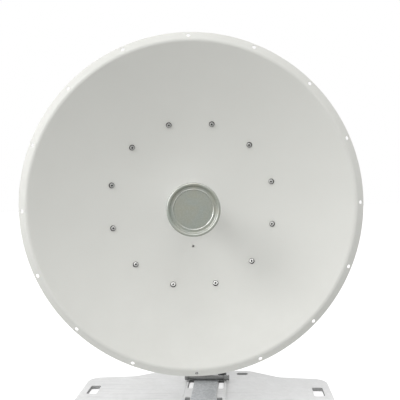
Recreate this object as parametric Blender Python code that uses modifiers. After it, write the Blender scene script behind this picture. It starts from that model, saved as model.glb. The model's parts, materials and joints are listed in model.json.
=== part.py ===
"""Microwave dish antenna: a spun reflector with a centre feed, carried by a tilting bracket
that is clamped to a short mast on a slotted steel base plate.

Metres, +Z up. The origin is the middle of the base plate's underside. The base plate's sides
run along X and Y, and the dish looks towards -Y, turned a few degrees towards +X.
"""

import math

import bmesh
import bpy
from mathutils import Matrix, Vector

MM = 0.001
GAP = 0.3 * MM
NAME = "microwave_dish_antenna"
SHARP_ANGLE = math.radians(35)
OUTLINE_WELD = 0.01 * MM
TURNED_WELD = 0.05 * MM

# Base plate
PLATE_HALF_WIDTH = 279 * MM
PLATE_THICKNESS = 8 * MM
WING_EDGE = 127 * MM
WING_INNER_X = 172 * MM
WING_INNER_Y = 137.5 * MM
HUMP_X = 104 * MM
HUMP_Y = 173.5 * MM
LOBE_X = 54 * MM
LOBE_Y = 193 * MM
WING_ROUND = 25 * MM
SHOULDER_ROUND = 34 * MM
HUMP_ROUND = 40 * MM
LOBE_NECK_ROUND = 5 * MM
LOBE_ROUND = 10 * MM
CORNER_SLOT = (23 * MM, 42 * MM)
CORNER_SLOT_AT = (251.5 * MM, 61 * MM)
CORNER_SLOT_ROUND = 3 * MM
HUMP_SLOT = (27 * MM, 12.6 * MM)
HUMP_SLOT_AT = (85.5 * MM, 155.6 * MM)
HUMP_SLOT_ROUND = 6 * MM
CENTRE_SLOT_WIDTH = 12 * MM
CENTRE_SLOT_ROUND = 4 * MM
END_SLOT_LENGTH = 54 * MM
END_SLOT_Y = 95 * MM
MIDDLE_SLOT_LENGTH = 50 * MM
SLOT_ROW_X = 34.4 * MM

# Centre channel, strap and cross rod
FOOT_X = 2 * MM
CHANNEL_HALF_WIDTH = 47 * MM
CHANNEL_HALF_LENGTH = 112 * MM
CHANNEL_SHEET = 2 * MM
CHANNEL_LIP = 1.1 * MM
STRAP_HALF_WIDTH = 27 * MM
STRAP_SHEET = 2 * MM
STRAP_ROUND = 4 * MM
ROD_RADIUS = 5 * MM
ROD_HALF_LENGTH = 44 * MM
ROD_Y = 108.8 * MM
ROD_HEIGHT = 17.9 * MM
ROD_NUT_RADIUS = 6.2 * MM
ROD_NUT_LENGTHS = (8 * MM, 11.5 * MM)
ROD_NUT_LAP = 2 * MM

# Mast
MAST_Y = 153 * MM
MAST_RADIUS = 24.15 * MM
MAST_WALL = 3.2 * MM
MAST_TOP = 520 * MM
FLANGE_SIZE = (100 * MM, 74 * MM, 8 * MM)
FLANGE_ROUND = 8 * MM
FLANGE_BOLT_AT = (36 * MM, 20 * MM)
FLANGE_BOLT_END = 1 * MM
CAP_WALL = 2.5 * MM
CAP_DEPTH = 22 * MM
CAP_CHAMFER = 2 * MM

# Aiming: the swivel frame stands on the mast's axis at the height of the dish's axis
AXIS_HEIGHT = 428 * MM
AZIMUTH = math.radians(6.14)
PIVOT_Y = -78 * MM
PIVOT_Z = -22 * MM
LOCK_RADIUS = 38 * MM
TILT_LIMIT = math.radians(15)
DISH_OFFSET_X = -28 * MM
DISH_STANDOFF = 240 * MM

# Mast clamp
CLAMP_HALF_WIDTH = 50 * MM
CLAMP_HALF_HEIGHT = 40 * MM
CLAMP_SPLIT = 3 * MM
CLAMP_FRONT_DEPTH = 45.7 * MM
CLAMP_REAR_DEPTH = 32 * MM
CLAMP_BEVEL = 4 * MM
CLAMP_BOLT_AT = (37 * MM, 27 * MM)

# Tilt fork and ears
FORK_SHEET = 4 * MM
FORK_EAR_X = 69 * MM
FORK_HALF_HEIGHT = 42 * MM
FORK_WEB_Y = -46 * MM
FORK_FRONT_Y = -98 * MM
FORK_NOSE = 14 * MM
FORK_NOSE_HEIGHT = 30 * MM
FORK_NOSE_ROUND = 12 * MM
FORK_ROUND = 20 * MM
FORK_LAP = 0.5 * MM
BOSS_RADIUS = 11 * MM
SLOT_SLACK = 0.5 * MM
EAR_X = 60 * MM
EAR_SHEET = 4 * MM
EAR_LOW = -44 * MM
EAR_HIGH = 40 * MM
EAR_TOE_Y = 20 * MM
EAR_TOP_RADIUS = 11.5 * MM
EAR_TOP_BACK_Y = -6 * MM
EAR_TOP_BACK_ROUND = 12 * MM
EAR_FLANGE_X = 98 * MM
EAR_BOLT_X = 86 * MM
EAR_BOLT_HEIGHTS = (-26 * MM, 20 * MM)

# Reflector: depths are measured back from the plane of the bowl's edge
RIM_RADIUS = 329.5 * MM
BOWL_RADIUS = 312.5 * MM
BOWL_DEPTH = 113 * MM
SEAT_RADIUS = 46 * MM
SHEET = 2 * MM
FLANGE_DROP = 9 * MM
FLANGE_TURN = 4 * MM
RIM_HOLES = 16
RIM_HOLE_RADIUS = 3.75 * MM
RIM_HOLE_CIRCLE = 322 * MM
SCREWS = 12
SCREW_CIRCLE = 169.6 * MM
SCREW_HOLE_RADIUS = 3.3 * MM
DRAIN_RADIUS = 2.4 * MM
DRAIN_CIRCLE = 89 * MM
FEED_HOLE_RADIUS = 25.6 * MM
HOLE_REACH = 15 * MM
REFLECTOR_STEPS = 80

# Pan-head bowl screws, measured from their axis
SCREW_SHANK = 2.9 * MM
SCREW_HEAD = ((0, 3.4 * MM), (2.2 * MM, 3.3 * MM), (4.4 * MM, 2.3 * MM), (5.8 * MM, 0))
SCREW_NUT_RADIUS = 5.2 * MM
SCREW_NUT_HEIGHT = 5 * MM

# Mounting ring and rear plate
RING_OUTER = 188 * MM
RING_WALL = 154 * MM
RING_INNER = 80 * MM
RING_SHEET = 2.5 * MM
RING_BACK = 119 * MM
RING_SLANT = 1.08
RING_STEPS = 60
REAR_PLATE_HALF = (145 * MM, 50 * MM)
REAR_PLATE_ROUND = 14 * MM
REAR_PLATE_SHEET = 4 * MM
REAR_BOLT_AT = (134 * MM, 36 * MM)
REAR_PLATE_SLACK = 2 * MM
HEAD_LAP = 0.5 * MM

# Feed: heights are measured out of the front from the plane of the bowl's edge
TUBE_RADIUS = 25 * MM
TUBE_WALL = 2.5 * MM
TUBE_FRONT = 48 * MM
TUBE_TAIL = 2 * MM
FEED_FACE = 93 * MM
CAP_RADIUS = 46.2 * MM
CAP_EDGE = 1.2 * MM
CAP_RECESS_RADIUS = 41.5 * MM
CAP_LEDGE_RADIUS = 39 * MM
CAP_LEDGE = FEED_FACE - 5.5 * MM
CAP_STEP_RADIUS = 35 * MM
CAP_SKIRT = 31 * MM
DISC_RADIUS = 33 * MM
DISC_FRONT = CAP_LEDGE - 2 * MM
DISC_SEAT = CAP_LEDGE - 5 * MM
HORN_RADIUS = 44.5 * MM
HORN_FRONT = 71 * MM
HORN_SHOULDER = 56 * MM
HORN_NECK = ((31 * MM, 26 * MM), (28 * MM, 24 * MM))
COLLAR = (
    (29 * MM, 20 * MM),
    (30 * MM, 19 * MM),
    (30 * MM, 8 * MM),
    (40 * MM, 5 * MM),
    (41 * MM, 4 * MM),
)
HUB_RADIUS = 24 * MM
HUB_COLLAR_RADIUS = 41 * MM
HUB_COLLAR_HEIGHT = 4.5 * MM
HUB_BORE_HEIGHT = 2.5 * MM
HUB_END = 141 * MM
HUB_CHAMFER = 2 * MM
JACK_RADIUS = 8 * MM
JACK_LENGTH = 17 * MM
JACK_FOOT = (9.2 * MM, 4 * MM)
JACK_WALL = 1.4 * MM
JACK_SOCKET = 8 * MM
JACK_SPREAD = 11.5 * MM

# Hexagon sizes, across corners, and head heights
M8 = (7.5 * MM, 5.3 * MM, 4 * MM)
M10 = (9.2 * MM, 6.4 * MM, 5 * MM)
BOLT_LAP = 0.2 * MM
BOLT_TAIL = 1.5 * MM

REAR_FACE = RING_BACK + GAP + REAR_PLATE_SHEET


def clear_scene():
    for obj in list(bpy.data.objects):
        bpy.data.objects.remove(obj)


def make_collection(name):
    collection = bpy.data.collections.new(name)
    bpy.context.scene.collection.children.link(collection)
    return collection


def make_material(name, colour, roughness, metallic):
    material = bpy.data.materials.new(name)
    material.use_nodes = True
    shader = material.node_tree.nodes["Principled BSDF"]
    shader.inputs["Base Color"].default_value = (*colour, 1)
    shader.inputs["Roughness"].default_value = roughness
    shader.inputs["Metallic"].default_value = metallic
    material.diffuse_color = (*colour, 1)
    return material


FINISHES = {
    "white_coat": ((0.72, 0.72, 0.69), 0.45, 0.0),
    "galvanised": ((0.58, 0.59, 0.60), 0.42, 0.85),
    "spangled_zinc": ((0.36, 0.39, 0.42), 0.38, 0.85),
    "black_steel": ((0.03, 0.03, 0.032), 0.45, 0.6),
    "stainless": ((0.42, 0.42, 0.41), 0.30, 0.95),
    "cast_aluminium": ((0.50, 0.51, 0.52), 0.48, 0.9),
    "feed_plastic": ((0.42, 0.44, 0.39), 0.50, 0.0),
    "cap_rubber": ((0.05, 0.05, 0.05), 0.70, 0.0),
    "brass_plate": ((0.55, 0.45, 0.22), 0.32, 0.95),
}


def dress(obj, finish, parent, location=(0, 0, 0), rotation=(0, 0, 0)):
    """Link an object to the parts, give it its own material and put it on its frame."""
    PARTS.objects.link(obj)
    colour, roughness, metallic = FINISHES[finish]
    obj.data.materials.clear()
    obj.data.materials.append(make_material(obj.name, colour, roughness, metallic))
    obj.parent = parent
    obj.location = location
    obj.rotation_euler = rotation
    return obj


def make_frame(name, parent, location, rotation=(0, 0, 0)):
    empty = bpy.data.objects.new(name, None)
    empty.empty_display_size = 0.05
    PARTS.objects.link(empty)
    empty.parent = parent
    empty.location = location
    empty.rotation_euler = rotation
    return empty


def shade_round(mesh):
    """Round faces smooth, with an edge wherever two faces meet at more than the sharp angle."""
    mesh.shade_smooth()
    mesh.set_sharp_from_angle(angle=SHARP_ANGLE)


def mesh_from(name, bm):
    mesh = bpy.data.meshes.new(name)
    bm.to_mesh(mesh)
    bm.free()
    shade_round(mesh)
    return mesh


def add_box(bm, size, centre):
    place = Matrix.Translation(centre) @ Matrix.Diagonal((*size, 1))
    bmesh.ops.create_cube(bm, size=1, matrix=place)


def add_cylinder(bm, radius, start, end, segments):
    """A capped cylinder between two points."""
    start = Vector(start)
    axis = Vector(end) - start
    place = Matrix.Translation(start + axis / 2) @ axis.to_track_quat("Z", "Y").to_matrix().to_4x4()
    bmesh.ops.create_cone(
        bm,
        cap_ends=True,
        segments=segments,
        radius1=radius,
        radius2=radius,
        depth=axis.length,
        matrix=place,
    )


def rounded(corners, steps=5):
    """An outline whose corners, each (x, y, radius), are turned into arcs."""
    points = []
    count = len(corners)
    for i, (x, y, radius) in enumerate(corners):
        here = Vector((x, y))
        if radius == 0:
            points.append(here)
            continue
        before = (Vector(corners[i - 1][:2]) - here).normalized()
        after = (Vector(corners[(i + 1) % count][:2]) - here).normalized()
        half = before.angle(after) / 2
        centre = here + (before + after).normalized() * radius / math.sin(half)
        start = here + before * radius / math.tan(half) - centre
        sweep = math.pi - 2 * half
        sign = 1 if before.cross(after) < 0 else -1
        for k in range(steps + 1):
            angle = sign * sweep * k / steps
            points.append(centre + Matrix.Rotation(angle, 2) @ start)
    return points


def box_outline(half_x, half_y, radius, centre=(0, 0)):
    x, y = centre
    return rounded(
        [
            (x - half_x, y - half_y, radius),
            (x + half_x, y - half_y, radius),
            (x + half_x, y + half_y, radius),
            (x - half_x, y + half_y, radius),
        ]
    )


def circle_outline(radius, centre, steps=16):
    x, y = centre
    turns = [2 * math.pi * i / steps for i in range(steps)]
    return [(x + radius * math.cos(t), y + radius * math.sin(t)) for t in turns]


def outline_mesh(name, outlines, thickness):
    """Flat outlines filled and thickened about their plane, as a welded mesh."""
    curve = bpy.data.curves.new(name, "CURVE")
    curve.dimensions = "2D"
    curve.fill_mode = "BOTH"
    curve.extrude = thickness / 2
    for outline in outlines:
        spline = curve.splines.new("POLY")
        spline.points.add(len(outline) - 1)
        spline.use_cyclic_u = True
        for point, (x, y) in zip(spline.points, outline):
            point.co = (x, y, 0, 1)
    guide = bpy.data.objects.new(name, curve)
    bpy.context.scene.collection.objects.link(guide)
    graph = bpy.context.evaluated_depsgraph_get()
    mesh = bpy.data.meshes.new_from_object(guide.evaluated_get(graph))
    bpy.data.objects.remove(guide)
    bpy.data.curves.remove(curve)
    bm = bmesh.new()
    bm.from_mesh(mesh)
    bmesh.ops.remove_doubles(bm, verts=bm.verts, dist=OUTLINE_WELD)
    bmesh.ops.recalc_face_normals(bm, faces=bm.faces)
    bm.to_mesh(mesh)
    bm.free()
    shade_round(mesh)
    mesh.name = name
    return mesh


def turned(name, profile, steps, closed=False):
    """A profile of (radius, height) swept once round local Z by a Screw modifier."""
    mesh = bpy.data.meshes.new(name)
    count = len(profile)
    edges = [(i, i + 1) for i in range(count - 1)]
    if closed:
        edges.append((count - 1, 0))
    mesh.from_pydata([(r, 0, h) for r, h in profile], edges, [])
    obj = bpy.data.objects.new(name, mesh)
    screw = obj.modifiers.new("Screw", "SCREW")
    screw.axis = "Z"
    screw.steps = steps
    screw.render_steps = steps
    screw.use_merge_vertices = True
    screw.merge_threshold = TURNED_WELD
    screw.use_smooth_shade = True
    return obj


def combine(obj, other, operation, parent, location=(0, 0, 0), rotation=(0, 0, 0)):
    """Boolean an object with a hidden tool that stands on the same frame."""
    CUTTERS.objects.link(other)
    other.hide_render = True
    other.display_type = "WIRE"
    other.parent = parent
    other.location = location
    other.rotation_euler = rotation
    modifier = obj.modifiers.new(operation.title(), "BOOLEAN")
    modifier.operation = operation
    modifier.solver = "EXACT"
    modifier.object = other


def tool(name, bm):
    return bpy.data.objects.new(name, mesh_from(name, bm))


def add_hex_bolt(bm, size, head_at, nut_at, axis):
    """Head, shank and nut along one axis: head_at and nut_at are the faces they clamp."""
    corner, height, shank = size
    axis = Vector(axis)
    head_at = Vector(head_at)
    nut_at = Vector(nut_at)
    add_cylinder(bm, corner, head_at - axis * height, head_at, 6)
    head_end = head_at - axis * BOLT_LAP
    shank_end = nut_at + axis * (height + BOLT_TAIL)
    other = bmesh.new()
    add_cylinder(other, shank, head_end, shank_end, 12)
    nut = bmesh.new()
    add_cylinder(nut, corner, nut_at, nut_at + axis * height, 6)
    return other, nut


def make_bolt(name, size, head_at, nut_at, axis, parent):
    bm = bmesh.new()
    shank, nut = add_hex_bolt(bm, size, head_at, nut_at, axis)
    bolt = bpy.data.objects.new(name, mesh_from(name, bm))
    dress(bolt, "stainless", parent)
    combine(bolt, tool(name + "_shank", shank), "UNION", parent)
    combine(bolt, tool(name + "_nut", nut), "UNION", parent)
    return bolt


def bowl_depth(radius):
    """Depth of the bowl's front face behind its edge, flat over the feed's seat."""
    reach = max(radius, SEAT_RADIUS) / BOWL_RADIUS
    return BOWL_DEPTH * (1 - reach * reach)


def bowl_slope(radius):
    return 2 * BOWL_DEPTH * radius / BOWL_RADIUS**2


def bowl_back(radius):
    """Depth of the bowl's rear face."""
    if radius <= SEAT_RADIUS:
        return bowl_depth(radius) + SHEET
    return bowl_depth(radius) + SHEET * math.hypot(1, bowl_slope(radius))


def spread(first, last, count):
    return [first + (last - first) * i / (count - 1) for i in range(count)]


def corners_of(at):
    """The four points at (+-x, +-y)."""
    x, y = at
    return [(sx * x, sy * y) for sx in (-1, 1) for sy in (-1, 1)]


def flange_bolts():
    return [(FOOT_X + x, MAST_Y + y) for x, y in corners_of(FLANGE_BOLT_AT)]


def make_base_plate():
    quarter = [
        (PLATE_HALF_WIDTH, WING_EDGE, WING_ROUND),
        (WING_INNER_X, WING_INNER_Y, SHOULDER_ROUND),
        (HUMP_X, HUMP_Y, HUMP_ROUND),
    ]
    back_right = quarter + [(LOBE_X, HUMP_Y, LOBE_NECK_ROUND), (LOBE_X, LOBE_Y, LOBE_ROUND)]
    back_left = [(-x, y, r) for x, y, r in reversed(back_right)]
    front_left = [(-x, -y, r) for x, y, r in quarter]
    front_right = [(x, -y, r) for x, y, r in reversed(quarter)]
    outline = rounded(back_right + back_left + front_left + front_right)
    mesh = outline_mesh("base_plate", [outline], PLATE_THICKNESS)
    plate = bpy.data.objects.new("base_plate", mesh)
    dress(plate, "galvanised", None, (0, 0, PLATE_THICKNESS / 2))
    slots = centre_slots()
    width, depth = CORNER_SLOT
    for centre in corners_of(CORNER_SLOT_AT):
        slots.append(box_outline(width / 2, depth / 2, CORNER_SLOT_ROUND, centre))
    width, depth = HUMP_SLOT
    for centre in corners_of(HUMP_SLOT_AT):
        slots.append(box_outline(width / 2, depth / 2, HUMP_SLOT_ROUND, centre))
    for centre in flange_bolts():
        slots.append(circle_outline(M10[2] + 2 * GAP, centre))
    cutter = outline_mesh("base_plate_slots", slots, 3 * PLATE_THICKNESS)
    cutter = bpy.data.objects.new("base_plate_slots", cutter)
    combine(plate, cutter, "DIFFERENCE", None, plate.location)


def centre_slots():
    rows = [
        (0, MIDDLE_SLOT_LENGTH),
        (END_SLOT_Y, END_SLOT_LENGTH),
        (-END_SLOT_Y, END_SLOT_LENGTH),
    ]
    half = CENTRE_SLOT_WIDTH / 2
    return [
        box_outline(half, length / 2, CENTRE_SLOT_ROUND, (FOOT_X + side * SLOT_ROW_X, y))
        for side in (-1, 1)
        for y, length in rows
    ]


def make_centre_channel():
    w = CHANNEL_HALF_WIDTH
    s = CHANNEL_SHEET
    lip = CHANNEL_SHEET + CHANNEL_LIP
    section = [(-w, 0), (w, 0), (w, lip), (w - s, lip), (w - s, s), (s - w, s), (s - w, lip), (-w, lip)]
    mesh = outline_mesh("centre_channel", [section], 2 * CHANNEL_HALF_LENGTH)
    channel = bpy.data.objects.new("centre_channel", mesh)
    height = PLATE_THICKNESS + GAP
    dress(channel, "galvanised", None, (FOOT_X, 0, height), (math.pi / 2, 0, 0))
    cutter = outline_mesh("centre_channel_slots", centre_slots(), 3 * PLATE_THICKNESS)
    cutter = bpy.data.objects.new("centre_channel_slots", cutter)
    combine(channel, cutter, "DIFFERENCE", None, (0, 0, height))


def make_centre_strap():
    outline = box_outline(STRAP_HALF_WIDTH, CHANNEL_HALF_LENGTH, STRAP_ROUND)
    mesh = outline_mesh("centre_strap", [outline], STRAP_SHEET)
    strap = bpy.data.objects.new("centre_strap", mesh)
    height = PLATE_THICKNESS + GAP + CHANNEL_SHEET + GAP + STRAP_SHEET / 2
    dress(strap, "spangled_zinc", None, (FOOT_X, 0, height))


def make_cross_rod():
    bm = bmesh.new()
    start = (FOOT_X - ROD_HALF_LENGTH, ROD_Y, ROD_HEIGHT)
    end = (FOOT_X + ROD_HALF_LENGTH, ROD_Y, ROD_HEIGHT)
    add_cylinder(bm, ROD_RADIUS, start, end, 16)
    rod = bpy.data.objects.new("cross_rod", mesh_from("cross_rod", bm))
    dress(rod, "black_steel", None)
    nuts = bmesh.new()
    for side, length in zip((-1, 1), ROD_NUT_LENGTHS):
        inner = FOOT_X + side * (ROD_HALF_LENGTH - ROD_NUT_LAP)
        outer = inner + side * length
        add_cylinder(nuts, ROD_NUT_RADIUS, (inner, ROD_Y, ROD_HEIGHT), (outer, ROD_Y, ROD_HEIGHT), 6)
    combine(rod, tool("cross_rod_nuts", nuts), "UNION", None)


def make_mast():
    width, depth, height = FLANGE_SIZE
    bottom = PLATE_THICKNESS + GAP
    top = bottom + height
    mesh = outline_mesh("mast_flange", [box_outline(width / 2, depth / 2, FLANGE_ROUND)], height)
    flange = bpy.data.objects.new("mast_flange", mesh)
    dress(flange, "galvanised", None, (FOOT_X, MAST_Y, bottom + height / 2))
    heads = bmesh.new()
    shanks = bmesh.new()
    for x, y in flange_bolts():
        add_cylinder(heads, M10[0], (x, y, top - HEAD_LAP), (x, y, top + M10[1]), 6)
        add_cylinder(shanks, M10[2] - GAP, (x, y, FLANGE_BOLT_END), (x, y, bottom + HEAD_LAP), 12)
    combine(flange, tool("mast_flange_heads", heads), "UNION", None)
    combine(flange, tool("mast_flange_shanks", shanks), "UNION", None)

    foot = bottom + height + GAP
    inner = MAST_RADIUS - MAST_WALL
    wall = [(inner, MAST_TOP), (MAST_RADIUS, MAST_TOP), (MAST_RADIUS, foot), (inner, foot)]
    mast = turned("mast", wall, 32, closed=True)
    dress(mast, "galvanised", None, (FOOT_X, MAST_Y, 0))

    lid = MAST_TOP + GAP
    outer = MAST_RADIUS + GAP + CAP_WALL
    bore = MAST_RADIUS + GAP
    skirt = lid - CAP_DEPTH
    profile = [
        (0, lid + CAP_WALL),
        (outer - CAP_CHAMFER, lid + CAP_WALL),
        (outer, lid + CAP_WALL - CAP_CHAMFER),
        (outer, skirt),
        (bore, skirt),
        (bore, lid),
        (0, lid),
    ]
    dress(turned("mast_cap", profile, 32), "cap_rubber", None, (FOOT_X, MAST_Y, 0))


def make_clamp_half(name, near, far, swivel):
    """One half of the mast clamp, between two distances from the mast's axis along Y."""
    bm = bmesh.new()
    size = (2 * CLAMP_HALF_WIDTH, abs(far - near), 2 * CLAMP_HALF_HEIGHT)
    add_box(bm, size, (0, (near + far) / 2, 0))
    block = bpy.data.objects.new(name, mesh_from(name, bm))
    dress(block, "cast_aluminium", swivel)
    bevel = block.modifiers.new("Bevel", "BEVEL")
    bevel.width = CLAMP_BEVEL
    bevel.segments = 1
    holes = bmesh.new()
    reach = 2 * CLAMP_HALF_HEIGHT
    add_cylinder(holes, MAST_RADIUS + GAP, (0, 0, -reach), (0, 0, reach), 32)
    combine(block, tool(name + "_seat", holes), "DIFFERENCE", swivel)
    holes = bmesh.new()
    for x, z in corners_of(CLAMP_BOLT_AT):
        add_cylinder(holes, M8[2] + GAP, (x, -reach, z), (x, reach, z), 12)
    combine(block, tool(name + "_holes", holes), "DIFFERENCE", swivel)


def make_clamp(swivel):
    make_clamp_half("clamp_front", -CLAMP_SPLIT, -CLAMP_FRONT_DEPTH, swivel)
    make_clamp_half("clamp_rear", CLAMP_SPLIT, CLAMP_REAR_DEPTH, swivel)
    head_at = FORK_WEB_Y - FORK_SHEET - GAP
    nut_at = CLAMP_REAR_DEPTH + GAP
    for side, x in (("left", -CLAMP_BOLT_AT[0]), ("right", CLAMP_BOLT_AT[0])):
        for level, z in (("lower", -CLAMP_BOLT_AT[1]), ("upper", CLAMP_BOLT_AT[1])):
            name = f"clamp_bolt_{level}_{side}"
            make_bolt(name, M8, (x, head_at, z), (x, nut_at, z), (0, 1, 0), swivel)


def lock_arc(half_width, sweep, steps=8):
    """The outline of an arc slot about the pivot, above it, in (y, z)."""
    outer = LOCK_RADIUS + half_width
    inner = LOCK_RADIUS - half_width
    angles = spread(math.pi / 2 - sweep, math.pi / 2 + sweep, steps)
    points = [(PIVOT_Y + outer * math.cos(a), PIVOT_Z + outer * math.sin(a)) for a in angles]
    end = (math.cos(angles[-1]), math.sin(angles[-1]))
    points += end_cap(end, angles[-1], half_width)
    points += [
        (PIVOT_Y + inner * math.cos(a), PIVOT_Z + inner * math.sin(a)) for a in reversed(angles)
    ]
    start = (math.cos(angles[0]), math.sin(angles[0]))
    points += end_cap(start, angles[0] + math.pi, half_width)
    return points


def end_cap(direction, angle, half_width):
    """Three points of a half circle round one end of the arc slot."""
    y = PIVOT_Y + LOCK_RADIUS * direction[0]
    z = PIVOT_Z + LOCK_RADIUS * direction[1]
    turns = (math.pi / 4, math.pi / 2, 3 * math.pi / 4)
    return [(y + half_width * math.cos(angle + t), z + half_width * math.sin(angle + t)) for t in turns]


def make_fork(swivel):
    """The U-shaped bracket on the mast clamp, with a pivot hole and an arc slot in each ear."""
    bm = bmesh.new()
    half = FORK_EAR_X + FORK_SHEET
    web_size = (2 * half, FORK_SHEET, 2 * FORK_HALF_HEIGHT)
    add_box(bm, web_size, (0, FORK_WEB_Y - FORK_SHEET / 2, 0))
    fork = bpy.data.objects.new("tilt_fork", mesh_from("tilt_fork", bm))
    dress(fork, "galvanised", swivel)
    root = FORK_WEB_Y - FORK_LAP
    outline = rounded(
        [
            (root, -FORK_HALF_HEIGHT, 0),
            (root, FORK_HALF_HEIGHT, 0),
            (FORK_FRONT_Y + FORK_NOSE, FORK_NOSE_HEIGHT, FORK_ROUND),
            (FORK_FRONT_Y, FORK_NOSE_HEIGHT, FORK_NOSE_ROUND),
            (FORK_FRONT_Y, -FORK_HALF_HEIGHT, FORK_ROUND),
        ]
    )
    for side in (-1, 1):
        x = side * (FORK_EAR_X + FORK_SHEET / 2)
        ear = bpy.data.objects.new("tilt_fork_ear", outline_mesh("tilt_fork_ear", [outline], FORK_SHEET))
        combine(fork, ear, "UNION", swivel, (x, 0, 0), (math.pi / 2, 0, math.pi / 2))
    boss = bmesh.new()
    for side in (-1, 1):
        start = side * (FORK_EAR_X + FORK_LAP)
        end = side * (EAR_X + EAR_SHEET + GAP)
        add_cylinder(boss, BOSS_RADIUS, (start, PIVOT_Y, PIVOT_Z), (end, PIVOT_Y, PIVOT_Z), 20)
    combine(fork, tool("tilt_fork_bosses", boss), "UNION", swivel)
    holes = bmesh.new()
    reach = 2 * FORK_EAR_X
    add_cylinder(holes, M10[2] + GAP, (-reach, PIVOT_Y, PIVOT_Z), (reach, PIVOT_Y, PIVOT_Z), 16)
    for x, z in corners_of(CLAMP_BOLT_AT):
        near = FORK_WEB_Y + HOLE_REACH
        far = FORK_WEB_Y - HOLE_REACH
        add_cylinder(holes, M8[2] + GAP, (x, near, z), (x, far, z), 12)
    combine(fork, tool("tilt_fork_holes", holes), "DIFFERENCE", swivel)
    slot = outline_mesh("tilt_fork_slots", [lock_arc(M8[2] + SLOT_SLACK, TILT_LIMIT)], 2 * reach)
    slot = bpy.data.objects.new("tilt_fork_slots", slot)
    combine(fork, slot, "DIFFERENCE", swivel, (0, 0, 0), (math.pi / 2, 0, math.pi / 2))


def make_pivot_bolt(side, name, swivel):
    head_at = side * (FORK_EAR_X + FORK_SHEET + GAP)
    nut_at = side * (EAR_X - GAP)
    place = (PIVOT_Y, PIVOT_Z)
    make_bolt(name, M10, (head_at, *place), (nut_at, *place), (-side, 0, 0), swivel)


def make_lock_bolt(side, name, tilt):
    head_at = side * (FORK_EAR_X + FORK_SHEET + GAP)
    nut_at = side * (EAR_X - GAP)
    place = (0, LOCK_RADIUS)
    make_bolt(name, M8, (head_at, *place), (nut_at, *place), (-side, 0, 0), tilt)


def make_tilt_ear(side, name, tilt):
    """An L-shaped ear: an upright plate beside the fork and a flange bolted to the rear plate."""
    front = REAR_FACE - DISH_STANDOFF + GAP - PIVOT_Y
    low = EAR_LOW - PIVOT_Z
    high = EAR_HIGH - PIVOT_Z
    top = LOCK_RADIUS + EAR_TOP_RADIUS + SLOT_SLACK
    outline = rounded(
        [
            (front, low, 0),
            (EAR_TOE_Y, low, EAR_TOE_Y),
            (EAR_TOP_RADIUS, top, EAR_TOP_RADIUS),
            (EAR_TOP_BACK_Y, top, EAR_TOP_BACK_ROUND),
            (front, high, 0),
        ]
    )
    mesh = outline_mesh(name, [outline], EAR_SHEET)
    ear = bpy.data.objects.new(name, mesh)
    x = side * (EAR_X + EAR_SHEET / 2)
    dress(ear, "galvanised", tilt, (x, 0, 0), (math.pi / 2, 0, math.pi / 2))
    flange = bmesh.new()
    inner = side * (EAR_X + EAR_SHEET / 2)
    outer = side * EAR_FLANGE_X
    size = (abs(outer - inner), EAR_SHEET, high - low)
    add_box(flange, size, ((inner + outer) / 2, front + EAR_SHEET / 2, (low + high) / 2))
    combine(ear, tool(name + "_flange", flange), "UNION", tilt)
    nuts = bmesh.new()
    for z in EAR_BOLT_HEIGHTS:
        place = (side * EAR_BOLT_X, front + EAR_SHEET - HEAD_LAP, z - PIVOT_Z)
        end = (place[0], place[1] + M8[1], place[2])
        add_cylinder(nuts, M8[0], place, end, 6)
    combine(ear, tool(name + "_nuts", nuts), "UNION", tilt)
    holes = bmesh.new()
    near = inner - HOLE_REACH
    far = inner + HOLE_REACH
    add_cylinder(holes, M10[2] + GAP, (near, 0, 0), (far, 0, 0), 16)
    add_cylinder(holes, M8[2] + GAP, (near, 0, LOCK_RADIUS), (far, 0, LOCK_RADIUS), 12)
    combine(ear, tool(name + "_holes", holes), "DIFFERENCE", tilt)


def make_reflector(dish):
    """The bowl, its sloping edge flange and its holes, as one turned sheet."""
    radii = spread(SEAT_RADIUS, BOWL_RADIUS, 15)
    front = [(FEED_HOLE_RADIUS, -bowl_depth(0))] + [(r, -bowl_depth(r)) for r in radii]
    edge = RIM_RADIUS - SHEET
    flange_back = SHEET * math.hypot(1, FLANGE_DROP / (edge - BOWL_RADIUS))
    end = -FLANGE_DROP - FLANGE_TURN - SHEET
    lip = [
        (edge, -FLANGE_DROP),
        (RIM_RADIUS, -FLANGE_DROP - SHEET),
        (RIM_RADIUS, end),
        (edge, end),
        (edge, -FLANGE_DROP - flange_back),
        (BOWL_RADIUS, -flange_back),
    ]
    rear = [(r, -bowl_back(r)) for r in reversed(radii[:-1])]
    rear.append((FEED_HOLE_RADIUS, -bowl_back(0)))
    reflector = turned("reflector", front + lip + rear, REFLECTOR_STEPS, closed=True)
    dress(reflector, "white_coat", dish)
    holes = bmesh.new()
    for i in range(RIM_HOLES):
        angle = 2 * math.pi * i / RIM_HOLES
        x = RIM_HOLE_CIRCLE * math.sin(angle)
        y = RIM_HOLE_CIRCLE * math.cos(angle)
        add_cylinder(holes, RIM_HOLE_RADIUS, (x, y, HOLE_REACH), (x, y, -HOLE_REACH), 10)
    for i in range(SCREWS):
        add_cylinder(holes, SCREW_HOLE_RADIUS, *screw_line(i, -HOLE_REACH, HOLE_REACH), 10)
    front = HOLE_REACH - bowl_depth(DRAIN_CIRCLE)
    back = front - 2 * HOLE_REACH
    add_cylinder(holes, DRAIN_RADIUS, (0, -DRAIN_CIRCLE, front), (0, -DRAIN_CIRCLE, back), 10)
    combine(reflector, tool("reflector_holes", holes), "DIFFERENCE", dish)


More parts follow.
